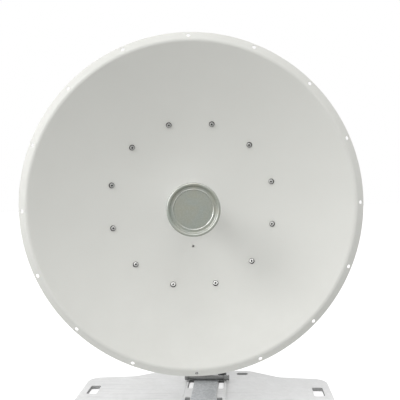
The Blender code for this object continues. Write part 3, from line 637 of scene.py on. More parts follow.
def make_zinc_spangle():
    """Crystals of zinc: cells of slightly different greys, with frost inside each."""
    wiring, given = new_group(
        "Zinc Spangle",
        {"Light": (0.7, 0.7, 0.7, 1), "Dark": (0.5, 0.5, 0.5, 1), "Scale": 110.0, "Frost": 0.35},
        {"Color": "NodeSocketColor", "Cell": "NodeSocketFloat", "Height": "NodeSocketFloat"},
    )
    vector = wiring.place()
    warp = wiring.add("ShaderNodeTexNoise", {"Vector": vector, "Scale": 60.0}).outputs["Color"]
    bend = wiring.add("ShaderNodeVectorMath", {0: warp, 1: (0.006, 0.006, 0.006)}, operation="MULTIPLY")
    bent = wiring.add("ShaderNodeVectorMath", {0: vector, 1: bend.outputs[0]}, operation="ADD").outputs[0]
    cells = wiring.add("ShaderNodeTexVoronoi", {"Vector": bent, "Scale": given["Scale"]})
    shade_of = wiring.add("ShaderNodeSeparateColor", {"Color": cells.outputs["Color"]}).outputs["Red"]
    frost = wiring.noise(bent, wiring.math("MULTIPLY", given["Scale"], 4.5), 5.0, 0.7, 1.5)
    frosted = wiring.math("MULTIPLY", wiring.math("SUBTRACT", frost, shade_of), given["Frost"])
    value = wiring.math("ADD", shade_of, frosted, clamp=True)
    relief = wiring.math("ADD", value, cells.outputs["Distance"])
    tint = wiring.mix(value, given["Dark"], given["Light"])
    wiring.add("NodeGroupOutput", {"Color": tint, "Cell": value, "Height": relief})


def make_roller_marks():
    """Faint scuffs that run along X."""
    wiring, given = new_group("Roller Marks", {"Scale": 1.0, "Cover": 0.5}, {"Mask": "NodeSocketFloat"})
    long_marks = wiring.noise(wiring.place((7, 150, 20)), given["Scale"], 3.0, 0.6, 0.3)
    patches = wiring.noise(wiring.place((9, 16, 9)), given["Scale"], 2.0)
    marks = wiring.remap(long_marks, 0.52, 0.70)
    shown = wiring.remap(patches, 0.42, 0.62)
    both = wiring.math("MULTIPLY", marks, shown)
    wiring.add("NodeGroupOutput", {"Mask": wiring.math("MULTIPLY", both, given["Cover"], clamp=True)})


def make_edge_wear():
    """1 along the outer edges, broken up by noise."""
    wiring, given = new_group(
        "Edge Wear", {"Width": 0.0012, "Amount": 0.7, "Scale": 180.0}, {"Mask": "NodeSocketFloat"}
    )
    rounded = wiring.add("ShaderNodeBevel", {"Radius": given["Width"]}, samples=4).outputs[0]
    flat = wiring.add("ShaderNodeNewGeometry").outputs["Normal"]
    facing = wiring.add("ShaderNodeVectorMath", {0: rounded, 1: flat}, operation="DOT_PRODUCT")
    bend = wiring.remap(facing.outputs["Value"], 0.995, 0.86)
    breakup = wiring.remap(wiring.noise(wiring.place(), given["Scale"], 4.0), 0.35, 0.62)
    worn = wiring.math("MULTIPLY", bend, breakup)
    wiring.add("NodeGroupOutput", {"Mask": wiring.math("MULTIPLY", worn, given["Amount"], clamp=True)})


def make_painted_wall_shade():
    """Painted shade: 1 on the upright faces of a level plate, such as its slot walls, to darken them as
    shade would.
    """
    wiring, given = new_group("Cut Edges", {"Amount": 0.7}, {"Mask": "NodeSocketFloat"})
    up = wiring.facing_up()
    upright = wiring.remap(wiring.math("ABSOLUTE", up), 0.55, 0.15)
    wiring.add("NodeGroupOutput", {"Mask": wiring.math("MULTIPLY", upright, given["Amount"], clamp=True)})


def make_settled_dust():
    """Dust on what faces up, gathered in patches."""
    wiring, given = new_group("Settled Dust", {"Amount": 0.3, "Scale": 30.0}, {"Mask": "NodeSocketFloat"})
    up = wiring.facing_up()
    patches = wiring.remap(wiring.noise(wiring.place(), given["Scale"], 5.0, 0.6), 0.30, 0.70)
    cover = wiring.math("MULTIPLY", wiring.remap(up, 0.1, 0.95), patches)
    wiring.add("NodeGroupOutput", {"Mask": wiring.math("MULTIPLY", cover, given["Amount"], clamp=True)})


DUST = (0.55, 0.54, 0.50)
RUBBED = (0.30, 0.30, 0.29)
WARM = (1.03, 1.0, 0.93)
COOL = (0.96, 1.01, 1.03)


class Finish(Wiring):
    """One material: its colour is laid in layers, and then led into its shader."""

    def __init__(self, name, rgb, metallic=0.0, specular=0.5, **constants):
        material = bpy.data.materials.new(name + FINISH)
        material.use_nodes = True
        super().__init__(material.node_tree)
        self.rgb = rgb
        self.shader = self.tree.nodes["Principled BSDF"]
        self.shader.inputs["Metallic"].default_value = metallic
        self.shader.inputs["Specular IOR Level"].default_value = specular
        for label, value in constants.items():
            words = [word if word.isupper() else word.title() for word in label.split("_")]
            self.shader.inputs[" ".join(words)].default_value = value

    def tone(self, change):
        """The finish's own colour, lighter by a share, or darker where the share is below 0."""
        if change < 0:
            return tuple(c * (1 + change) for c in self.rgb)
        return tuple(c + (1 - c) * change for c in self.rgb)

    def effect(self, name, output="Mask", **inputs):
        """One output of a shared group, with the inputs' blanks written as underscores."""
        sockets = {label.replace("_", " "): value for label, value in inputs.items()}
        return self.group(name, sockets).outputs[output]

    def grain(self, scale, share):
        return self.effect("Fine Grain", "Value", Scale=scale, Coarse_Share=share)

    def blotches(self, scale, share=1.0):
        cloud = self.effect("Soft Blotches", "Value", Scale=scale)
        return cloud if share == 1 else self.math("MULTIPLY", cloud, share)

    def spangle(self, light, dark, scale, frost):
        """Lay zinc crystals down first, and give back the outputs of their group."""
        sockets = {"Light": (*self.tone(light), 1), "Dark": (*self.tone(dark), 1)}
        zinc = self.group("Zinc Spangle", {**sockets, "Scale": scale, "Frost": frost}).outputs
        self.base = zinc["Color"]
        return zinc

    def start(self, mask, first, second):
        """Lay two tones down first, mixed by a mask."""
        self.base = self.mix(mask, self.tone(first), self.tone(second))

    def cover(self, mask, tone):
        """Lay a tone or a colour over the rest where a mask says so."""
        self.base = self.mix(mask, self.base, tone if isinstance(tone, tuple) else self.tone(tone))

    def dust(self, amount, scale):
        self.cover(self.effect("Settled Dust", Amount=amount, Scale=scale), DUST)

    def wear(self, width, amount, tone, scale=180.0):
        self.cover(self.effect("Edge Wear", Width=width * MM, Amount=amount, Scale=scale), tone)

    def close(self, roughness, height=None, strength=0.2, distance=0.2):
        """Lead colour, roughness and relief into the shader; the relief is in millimetres."""
        self.tree.links.new(self.base, self.shader.inputs["Base Color"])
        self.tree.links.new(roughness, self.shader.inputs["Roughness"])
        if height is not None:
            sockets = {"Strength": strength, "Distance": distance * MM, "Height": height}
            bump = self.add("ShaderNodeBump", sockets)
            self.tree.links.new(bump.outputs["Normal"], self.shader.inputs["Normal"])


def powder_coat(name, rgb):
    """Matt powder coat with a fine peel, a little dust and thin worn edges."""
    coat = Finish(name, rgb, specular=0.3)
    grain = coat.grain(750.0, 0.45)
    coat.start(coat.blotches(7.0), -0.012, 0.02)
    coat.cover(coat.remap(grain, 0.3, 0.7, 0.0, 0.03), -0.4)
    coat.dust(0.22, 22.0)
    coat.wear(0.9, 0.35, 0.5)
    coat.close(coat.remap(grain, 0.2, 0.8, 0.52, 0.62), grain, 0.10, 0.12)


def galvanised(name, rgb, cut=0.0):
    """Hot-dip zinc: pale spangle, faint scuffs along X, dust and bright worn edges."""
    zinc = Finish(name, rgb, metallic=0.05)
    crystals = zinc.spangle(0.16, -0.10, 120.0, 0.55)
    zinc.cover(zinc.blotches(14.0, 0.15), -0.2)
    zinc.cover(zinc.effect("Roller Marks", Scale=1.0, Cover=0.6), -0.28)
    zinc.dust(0.15, 18.0)
    zinc.wear(1.2, 0.8, 0.55)
    # cut is the share of painted shade laid on upright faces, standing in for the shade in slots
    if cut:
        zinc.cover(zinc.effect("Cut Edges", Amount=cut), -0.88)
    zinc.close(zinc.remap(crystals["Cell"], 0.0, 1.0, 0.34, 0.52), crystals["Height"], 0.10, 0.15)


def spangled_zinc(name, rgb):
    """Darker zinc with small sharp crystals."""
    zinc = Finish(name, rgb, metallic=0.35)
    crystals = zinc.spangle(0.42, -0.35, 260.0, 0.5)
    zinc.cover(zinc.blotches(30.0, 0.35), -0.2)
    zinc.wear(0.8, 0.8, 0.6)
    zinc.close(zinc.remap(crystals["Cell"], 0.0, 1.0, 0.26, 0.50), crystals["Height"], 0.18, 0.15)


def black_steel(name, rgb):
    """Black coated steel, rubbed grey along its edges."""
    steel = Finish(name, rgb, metallic=0.35, coat_weight=0.25)
    grain = steel.grain(900.0, 0.5)
    steel.start(steel.remap(grain, 0.3, 0.7), -0.25, 0.05)
    steel.dust(0.18, 60.0)
    steel.wear(0.7, 0.75, RUBBED)
    steel.close(steel.remap(grain, 0.25, 0.75, 0.30, 0.46), grain, 0.12, 0.1)


def stainless(name, rgb):
    """Plain stainless fasteners with a fine turned grain."""
    steel = Finish(name, rgb, metallic=0.95)
    grain = steel.grain(1600.0, 0.5)
    steel.start(steel.remap(grain, 0.3, 0.7), -0.18, 0.12)
    steel.wear(0.4, 0.7, 0.6, 400.0)
    steel.close(steel.remap(grain, 0.25, 0.75, 0.22, 0.38), grain, 0.06, 0.05)


def rubbed_steel(name, rgb):
    """Dark plain steel, rubbed bright along its edges, with painted shade on the steep sides and hollows of
    a marked piece.
    """
    steel = Finish(name, rgb, metallic=0.8)
    grain = steel.grain(900.0, 0.6)
    steel.start(steel.remap(grain, 0.3, 0.7), -0.25, 0.05)
    steel.cover(steel.blotches(90.0, 0.4), -0.4)
    steel.wear(0.6, 0.7, 0.45, 260.0)
    # Painted shade: nearly black on the steep sides and the socket floor of a marked piece, as on the bowl
    # screws
    steel.cover(steel.remap(steel.attribute("Side"), 0.07, 0.20), -0.96)
    steel.close(steel.remap(grain, 0.25, 0.75, 0.26, 0.42), grain, 0.10, 0.06)


def cast_aluminium(name, rgb):
    """Sand-cast skin, dull in its hollows and bright on its edges."""
    cast = Finish(name, rgb, metallic=0.85)
    grain = cast.grain(420.0, 0.6)
    cast.start(cast.remap(grain, 0.25, 0.75), -0.22, 0.10)
    cast.cover(cast.blotches(40.0, 0.25), -0.25)
    cast.dust(0.2, 40.0)
    cast.wear(1.0, 0.8, 0.45)
    cast.close(cast.remap(grain, 0.2, 0.8, 0.42, 0.62), grain, 0.32, 0.25)


def feed_plastic(name, rgb):
    """Greenish grey moulded plastic, faintly mottled between blue and olive, with painted shade on steep
    walls.
    """
    plastic = Finish(name, rgb, specular=0.45, coat_weight=1.0, coat_IOR=1.9, coat_roughness=0.2)
    warm, cool = [tuple(a * b for a, b in zip(rgb, tint)) for tint in (WARM, COOL)]
    plastic.base = plastic.mix(plastic.blotches(34.0), warm, cool)
    grain = plastic.grain(1100.0, 0.4)
    plastic.cover(plastic.remap(grain, 0.3, 0.7, 0.0, 0.08), -0.5)
    plastic.dust(0.2, 60.0)
    plastic.wear(0.7, 0.5, 0.35)
    # Painted shade on the steep walls of a marked piece, such as the dark inner walls of the cap's recess
    side = plastic.remap(plastic.attribute("Side"), 0.5, 0.9)
    plastic.cover(plastic.math("MULTIPLY", side, 0.7), -0.85)
    plastic.close(plastic.remap(grain, 0.2, 0.8, 0.22, 0.32), grain, 0.06, 0.1)


def cap_rubber(name, rgb):
    """Black rubber with a dull bloom."""
    rubber = Finish(name, rgb, specular=0.35)
    grain = rubber.grain(700.0, 0.6)
    rubber.start(rubber.blotches(45.0, 0.5), 0, 0.08)
    rubber.dust(0.45, 70.0)
    rubber.close(rubber.remap(grain, 0.2, 0.8, 0.62, 0.80), grain, 0.25, 0.15)


def brass_plate(name, rgb):
    """Plated brass, a little tarnished."""
    brass = Finish(name, rgb, metallic=0.95)
    grain = brass.grain(1500.0, 0.5)
    brass.start(brass.blotches(120.0, 0.6), 0.1, -0.35)
    brass.close(brass.remap(grain, 0.2, 0.8, 0.24, 0.42), grain, 0.08, 0.05)


def floor_paint(name, rgb):
    """A plain pale floor that glows a little, so that shadows on it stay soft."""
    paint = Finish(name, rgb, specular=0.2)
    paint.shader.inputs["Emission Color"].default_value = (1, 1, 1, 1)
    seen = paint.add("ShaderNodeLightPath").outputs["Is Camera Ray"]
    glow = paint.math("MULTIPLY", seen, settings().stage.floor_glow)
    paint.tree.links.new(glow, paint.shader.inputs["Emission Strength"])
    cloud = paint.blotches(3.0)
    paint.start(cloud, -0.01, 0)
    paint.close(paint.remap(cloud, 0.0, 1.0, 0.75, 0.8))


GROUPS = (
    make_fine_grain,
    make_soft_blotches,
    make_zinc_spangle,
    make_roller_marks,
    make_edge_wear,
    make_painted_wall_shade,
    make_settled_dust,
)

FINISHES = (
    ("white_coat", powder_coat, "coat"),
    ("galvanised", galvanised, "zinc"),
    ("spangled_zinc", spangled_zinc, "spangle"),
    ("black_steel", black_steel, "black"),
    ("stainless", stainless, "steel"),
    ("rubbed_steel", rubbed_steel, "rod"),
    ("screw_steel", rubbed_steel, "screw"),
    ("cast_aluminium", cast_aluminium, "casting"),
    ("feed_plastic", feed_plastic, "plastic"),
    ("cap_rubber", cap_rubber, "rubber"),
    ("brass_plate", brass_plate, "brass"),
)

# Share of painted shade on the base plate's upright faces, standing in for the shade in its slots
PLATE_WALL_SHADE = 0.45


class ANTENNA_OT_make_finishes(bpy.types.Operator):
    """Make the shared node groups and one material for each finish"""

    bl_idname = "antenna.make_finishes"
    bl_label = "Make Finishes"

    def execute(self, context):
        for make in GROUPS:
            make()
        colours = settings().finish
        for name, make, key in FINISHES:
            make(name, tuple(getattr(colours, key)))
        # A shaded copy of the zinc: painted shade on its upright faces, for the base plate
        galvanised("base_zinc", tuple(colours.zinc), PLATE_WALL_SHADE)
        floor_paint("floor_paint", tuple(settings().stage.floor))
        return {"FINISHED"}


# Reflector


def soften(points, steps=5):
    """Turn each (x, y, radius) of an open line into an arc where its radius isn't 0."""
    line = []
    last = len(points) - 1
    for i, (x, y, radius) in enumerate(points):
        here = Vector((x, y))
        if radius == 0 or i in (0, last):
            line.append((x, y))
            continue
        before = (Vector(points[i - 1][:2]) - here).normalized()
        after = (Vector(points[i + 1][:2]) - here).normalized()
        half = before.angle(after) / 2
        centre = here + (before + after).normalized() * radius / math.sin(half)
        start = here + before * radius / math.tan(half) - centre
        sweep = (math.pi - 2 * half) * (1 if before.cross(after) < 0 else -1)
        for k in range(steps + 1):
            point = centre + Matrix.Rotation(sweep * k / steps, 2) @ start
            line.append((point.x, point.y))
    return line


def bowl_height(radius):
    """Height of the bowl's front face over the plane of its edge, which is below 0."""
    sizes = settings().reflector
    reach = max(radius, sizes.seat_radius) / sizes.bowl_radius
    return -sizes.bowl_depth * (1 - reach * reach)


def bowl_slope(radius):
    sizes = settings().reflector
    return 2 * sizes.bowl_depth * radius / sizes.bowl_radius**2


def bowl_rear(radius):
    """Height of the bowl's rear face."""
    slope = bowl_slope(radius) if radius > settings().reflector.seat_radius else 0
    return bowl_height(radius) - settings().reflector.sheet * math.hypot(1, slope)


def spread(first, last, count):
    return [first + (last - first) * i / (count - 1) for i in range(count)]


def circle_points(radius, count, offset=0.0):
    """Points of a bolt circle in the dish's frame, clockwise from the top."""
    angles = [FULL_TURN * (i + offset) / count for i in range(count)]
    return [Vector((radius * math.sin(a), radius * math.cos(a), 0)) for a in angles]


def screw_matrix(seat):
    """A frame on the bowl's face at one screw, with Z square to the sheet."""
    radius = seat.length
    tilt = math.atan(bowl_slope(radius))
    normal = UP * math.cos(tilt) - seat.normalized() * math.sin(tilt)
    return along(seat + UP * bowl_height(radius), normal)


def screw_seats():
    """The middle of each bowl screw, in the plane of the bowl's edge."""
    sizes = settings().reflector
    return circle_points(sizes.screw_circle, sizes.screw_count, 0.5)


def screw_drills(radius, top, bottom):
    """Cutters square to the bowl for the holes of the bowl screws."""
    drills = []
    for seat in screw_seats():
        drill = cylinder("drill", radius, (0, 0, top), (0, 0, bottom), 20)
        drills.append(settle(drill, screw_matrix(seat)))
    return drills


class ANTENNA_OT_add_reflector(bpy.types.Operator):
    """Spin the bowl with its edge flange and turned edge, and drill its holes"""

    bl_idname = "antenna.add_reflector"
    bl_label = "Add Reflector"

    def execute(self, context):
        sizes = settings().reflector
        rim = RIM_RADIUS
        sheet = sizes.sheet
        radii = spread(sizes.seat_radius, sizes.bowl_radius, 44)[:-1]
        slope = sizes.flange_drop / (rim - sheet - sizes.bowl_radius)
        corner = -slope * (rim - sizes.bowl_radius)
        tail = -sizes.flange_drop - sizes.flange_turn - sheet
        back = sheet * math.hypot(1, slope)
        edge = soften(
            [
                (radii[-1], bowl_height(radii[-1]), 0),
                (sizes.bowl_radius, 0, sizes.edge_fillet),
                (rim, corner, 2.6 * MM),
                (rim, tail, 0.7 * MM),
                (rim - sheet, tail, 0.7 * MM),
                (rim - sheet, -sizes.flange_drop - back, 1 * MM),
                (sizes.bowl_radius, -back, sizes.edge_fillet - sheet),
                (radii[-1], bowl_rear(radii[-1]), 0),
            ],
            8,
        )
        front = [(sizes.feed_hole, bowl_height(0))] + [(r, bowl_height(r)) for r in radii[:-1]]
        rear = [(r, bowl_rear(r)) for r in reversed(radii[:-1])] + [(sizes.feed_hole, bowl_rear(0))]
        bowl = lathe("reflector", front + edge + rear, sizes.steps, closed=True)
        drills = []
        radius = sizes.hole_radius
        for point in circle_points(sizes.hole_circle, sizes.hole_count):
            drills.append(cylinder("drill", radius, point + UP * 5 * MM, point - UP * 15 * MM, 24))
        drills += screw_drills(3.2 * MM, 8 * MM, -8 * MM)
        drain = Vector((0, -sizes.drain_circle, bowl_height(sizes.drain_circle)))
        drills.append(cylinder("drill", sizes.drain_radius, drain + UP * 9 * MM, drain - UP * 9 * MM, 20))
        combine(bowl, join("drills", drills))
        finish_piece(bowl, "antenna", "white_coat", ["reflector"], DISH)
        return {"FINISHED"}


SOCKET_TURN = 1.1


class ANTENNA_OT_add_bowl_screws(bpy.types.Operator):
    """Turn one pan-head screw with its socket, thread and nut, and copy it round the bowl"""

    bl_idname = "antenna.add_bowl_screws"
    bl_label = "Add Bowl Screws"

    def execute(self, context):
        head = settings().reflector.screw_head
        low, high = node_span("bowl_screw_01", DISH @ screw_matrix(screw_seats()[0]))
        neck = 2.9 * MM
        profile = [
            (0, high.z, 0),
            (head * 0.76, high.z * 0.93, 0.8 * MM),
            (head * 0.93, high.z * 0.45, 1.5 * MM),
            (head, 0.1 * MM, 0.2 * MM),
            (neck, 0.1 * MM, 0),
        ]
        cap = lathe("head", soften(profile) + [(neck, -2 * MM), (0, -2 * MM)], 40)
        combine(cap, cylinder("socket", 2.1 * MM, (0, 0, 1.4 * MM), (0, 0, 6 * MM), 6))
        size = {"corner": 5.6 * MM, "head": 4.6 * MM, "shank": 3 * MM, "pitch": 1 * MM}
        rod = thread("rod", size, low.z - 2 * MM, -1.8 * MM)
        nut = hex_part("nut", size, size["head"], 2.8 * MM)
        settle(nut, lift(low.z + 0.4 * MM))
        # The screw's steep sides and socket floor are marked for painted shade
        model = mark_painted_shade(join("screw model", [cap, rod, nut]), MM)
        for i, seat in enumerate(screw_seats()):
            name = f"bowl_screw_{i + 1:02d}"
            turn = Matrix.Rotation(i * SOCKET_TURN, 4, "Z")
            screw = copy_of(model, "pan_head_" + name, screw_matrix(seat) @ turn)
            finish_piece(screw, "antenna", "stainless", [name], DISH, "screw_steel")
        bpy.data.objects.remove(model)
        return {"FINISHED"}


# Feed


FIT = 0.2 * MM
RIBS = 12
RIB_SIZE = (2.2 * MM, 9 * MM, 20 * MM)
RIB_LEAN = -0.36


class ANTENNA_OT_add_feed(bpy.types.Operator):
    """Turn the collar, tube, horn, cap and face disc in front of the bowl"""

    bl_idname = "antenna.add_feed"
    bl_label = "Add Feed"

    def execute(self, context):
        sizes = settings().feed
        self.add_collar(sizes)
        self.add_tube_and_horn(sizes)
        self.add_cap(sizes)
        self.add_disc(sizes)
        return {"FINISHED"}

    def add_collar(self, sizes):
        low, high = node_span("feed_collar", DISH)
        bore = sizes.tube_radius + FIT
        neck = 30 * MM
        profile = [
            (bore, high.z, 0),
            (neck, high.z, 1.2 * MM),
            (neck, low.z + 8 * MM, 5 * MM),
            (high.x, low.z + 4.4 * MM, 1.2 * MM),
            (high.x, low.z, 0),
        ]
        collar = lathe("feed_collar_casting", soften(profile) + [(bore, low.z)], closed=True)
        finish_piece(collar, "antenna", "cast_aluminium", ["feed_collar"], DISH)

    def add_tube_and_horn(self, sizes):
        low, high = node_span("feed_tube", DISH)
        inner = sizes.tube_radius - 2.5 * MM
        wall = [
            (inner, high.z, 0),
            (sizes.tube_radius, high.z, 0.5 * MM),
            (sizes.tube_radius, low.z, 0.5 * MM),
            (inner, low.z, 0),
        ]
        tube = lathe("feed_tube_wall", soften(wall), closed=True)
        finish_piece(tube, "antenna", "cast_aluminium", ["feed_tube"], DISH)

        low, high = node_span("feed_horn", DISH)
        bore = sizes.tube_radius + FIT
        top = high.z - 0.1 * MM
        neck = low.z
        seat = neck + 24.3 * MM
        spigot = 28.4 * MM
        profile = [
            (0, top, 0),
            (high.x, top, 0.6 * MM),
            (high.x, neck + 32 * MM, 5 * MM),
            (32 * MM, neck + 5 * MM, 3 * MM),
            (30 * MM, neck + 3.4 * MM, 0.4 * MM),
            (spigot, neck + 3.4 * MM, 0.4 * MM),
            (spigot, neck, 0.8 * MM),
            (bore, neck, 0),
            (bore, seat, 0),
            (0, seat, 0),
        ]
        horn = lathe("feed_horn_body", soften(profile))
        place = shift((0, 33 * MM, neck + 16 * MM)) @ Matrix.Rotation(RIB_LEAN, 4, "X")
        ribs = []
        for i in range(RIBS):
            deselect()
            bpy.ops.mesh.primitive_cube_add(size=1, scale=RIB_SIZE)
            rib = bpy.context.object
            bpy.ops.object.transform_apply(location=True, rotation=True, scale=True)
            ribs.append(settle(rib, Matrix.Rotation(FULL_TURN * i / RIBS, 4, "Z") @ place))
        combine(horn, join("ribs", ribs), "UNION")
        finish_piece(horn, "antenna", "feed_plastic", ["feed_horn"], DISH)

    def add_cap(self, sizes):
        foot = node_span("feed_cap", DISH)[0].z
        face = sizes.face_height
        ledge = face - sizes.recess_depth
        seat = ledge - 5 * MM
        bore = sizes.disc_radius + 0.1 * MM
        bead = (sizes.disc_radius + 1.75 * MM, ledge + 0.35 * MM, 0.5 * MM)
        sleeve = sizes.cap_radius - 1.2 * MM
        floor = node_span("feed_horn", DISH)[1].z + FIT
        profile = [
            (0, seat, 0),
            (bore, seat, 0),
            (bore, ledge - sizes.disc_depth, 0),
            bead,
            (sizes.step_radius, ledge, 0.2 * MM),
            (sizes.ledge_radius, ledge, 0.8 * MM),
            (sizes.recess_radius, face, 2.3 * MM),
            (sizes.cap_radius, face, 2.4 * MM),
            (sizes.cap_radius, foot, 0.8 * MM),
            (sleeve, foot, 0),
            (sleeve, floor, 0),
            (0, floor, 0),
        ]
        # The cap's steep walls are marked for painted shade
        cap = mark_painted_shade(lathe("feed_cap_shell", soften(profile, 6), 128))
        finish_piece(cap, "antenna", "feed_plastic", ["feed_cap"], DISH)

    def add_disc(self, sizes):
        ledge = sizes.face_height - sizes.recess_depth
        top = ledge - sizes.disc_depth
        bottom = ledge - 4.6 * MM
        profile = [
            (0, top, 0),
            (sizes.disc_radius, top, 0.2 * MM),
            (sizes.disc_radius, bottom, 0),
            (0, bottom, 0),
        ]
        disc = lathe("feed_face_disc", soften(profile), 128)
        finish_piece(disc, "antenna", "feed_plastic", ["feed_face"], DISH)


class ANTENNA_OT_add_feed_back(bpy.types.Operator):
    """Turn the hub behind the bowl and its two threaded jacks"""

    bl_idname = "antenna.add_feed_back"
    bl_label = "Add Feed Back"

    def execute(self, context):
        low, high = node_span("feed_hub", DISH)
        sizes = settings().feed
        bore = sizes.tube_radius + FIT
        radius = 24 * MM
        waist = radius - 1 * MM
        step = high.z - 2.2 * MM
        collar = high.z - 4.2 * MM
        profile = [
            (0, step, 0),
            (bore, step, 0),
            (bore, high.z, 0),
            (high.x, high.z, 0.3 * MM),
            (high.x, collar, 1 * MM),
            (radius + 1.5 * MM, collar, 1.5 * MM),
            (radius, collar - 6 * MM, 1 * MM),
            (radius, low.z + 6 * MM, 0.5 * MM),
            (waist, low.z + 5.4 * MM, 0.4 * MM),
            (waist, low.z + 4 * MM, 0.4 * MM),
            (radius, low.z + 3.4 * MM, 0.4 * MM),
            (radius, low.z, 1.6 * MM),
            (0, low.z, 0),
        ]
        hub = lathe("feed_hub_casting", soften(profile))
        finish_piece(hub, "antenna", "cast_aluminium", ["feed_hub"], DISH)
        model, insulator = self.model_jack(sizes)
        for side, word in SIDES:
            place = shift((side * sizes.jack_spread, 0, low.z - FIT)) @ FLIP
            jack = copy_of(model, f"feed_jack_{word}_thread", place)
            finish_piece(jack, "antenna", "brass_plate", [f"feed_jack_{word}"], DISH)
            core = copy_of(insulator, f"feed_jack_{word}_insulator", place)
            finish_piece(core, "antenna", "white_coat", [], DISH)
        bpy.data.objects.remove(model)
        bpy.data.objects.remove(insulator)
        return {"FINISHED"}

    def model_jack(self, sizes):
        """A jack along Z from its hexagon foot: thread, open socket, pin and insulator."""
        crest = sizes.jack_radius
        root = crest - 0.7 * MM
        socket = crest - 1.4 * MM
        floor = 9 * MM
        profile = [(0, 3 * MM), (root, 3 * MM)]
        for i in range(8):
            base = 4.4 * MM + i * 1.4 * MM
            profile += [(root, base), (crest, base + 0.5 * MM)]
            profile += [(crest, base + 0.8 * MM), (root, base + 1.3 * MM)]
        end = sizes.jack_length
        profile += [(root, end - 0.6 * MM), (root - 0.4 * MM, end)]
        profile += [(socket, end), (socket, floor), (0, floor)]
        barrel = lathe("barrel", profile, 48)
        hexagon = hex_part("hexagon", {"corner": 9.2 * MM}, 4 * MM)
        thin, root, tip = 1.1 * MM, 8 * MM, 14.5 * MM
        pin = lathe("pin", soften([(0, tip, 0), (thin, tip, 0.8 * MM), (thin, root, 0), (0, root, 0)]), 16)
        inner, outer, top = 2 * MM, 4.6 * MM, 12.5 * MM
        ring = [(inner, top, 0), (outer, top, 0.5 * MM), (outer, floor, 0), (inner, floor, 0)]
        insulator = lathe("insulator", soften(ring), 32, closed=True)
        return join("jack model", [barrel, hexagon, pin]), insulator


# Ring, rear plate and tilt bracket


class ANTENNA_OT_add_mounting_ring(bpy.types.Operator):
    """Turn the hat-section ring behind the bowl and cut the plate across it"""

    bl_idname = "antenna.add_mounting_ring"
    bl_label = "Add Mounting Ring"

    def execute(self, context):
        low, high = node_span("mounting_ring", DISH)
        sheet = 2.5 * MM
        wall = 154 * MM
        inner = 80 * MM
        gap = 0.25 * MM
        slanted = 1.08
        front = [(r, bowl_rear(r) - gap, 0) for r in spread(wall, high.x, 7)]
        rear = [(r, bowl_rear(r) - gap - sheet * slanted, 0) for r in spread(high.x, wall + sheet, 7)]
        rest = [
            (wall + sheet, low.z, 3.5 * MM),
            (inner, low.z, 0.6 * MM),
            (inner, low.z + sheet, 0.6 * MM),
            (wall, low.z + sheet, 1.2 * MM),
        ]
        profile = soften(front + rear[:-1] + [(*rear[-1][:2], 2 * MM)] + rest + [front[0]])
        ring = lathe("mounting_ring_pressing", profile[:-1], 144, closed=True)
        combine(ring, join("drills", screw_drills(3.3 * MM, 0, -15 * MM)))
        finish_piece(ring, "antenna", "galvanised", ["mounting_ring"], DISH)
        self.add_rear_plate()
        return {"FINISHED"}

    def add_rear_plate(self):
        low, high = node_span("rear_plate", DISH)
        sheet = 4 * MM
        rear = high.z - sheet
        flat = plate("rear_plate_sheet", box_corners(high.x, high.y, 14 * MM), sheet)
        settle(flat, lift(rear))
        combine(flat, cylinder("hole", 26 * MM, (0, 0, low.z - MM), (0, 0, high.z + MM), 64))
        round_edges(flat, 0.5 * MM, 2)
        finish_piece(flat, "antenna", "galvanised", ["rear_plate"], DISH)
        size = dict(M8, head=4.6 * MM)
        head = settle(hex_part("head", size, size["head"]), lift(WASHER))
        model = join("bolt model", [head, washer("washer", size)])
        places = four(134 * MM, 36 * MM)
        bolts = [copy_of(model, "bolt", shift((x, y, rear)) @ FLIP) for x, y in places]
        bpy.data.objects.remove(model)
        finish_piece(join("rear_plate_bolts", bolts), "antenna", "stainless", [], DISH)


PIVOT_BORE = 5.3 * MM
M8_BORE = 4.4 * MM
EAR_BOLT_X = 86 * MM
EAR_BOLT_HEIGHTS = (-26 * MM, 20 * MM)


def side_on():
    """Turns a plate drawn in (Y, Z) and thick along X."""
    return Matrix.Rotation(math.pi / 2, 4, "Z") @ STAND


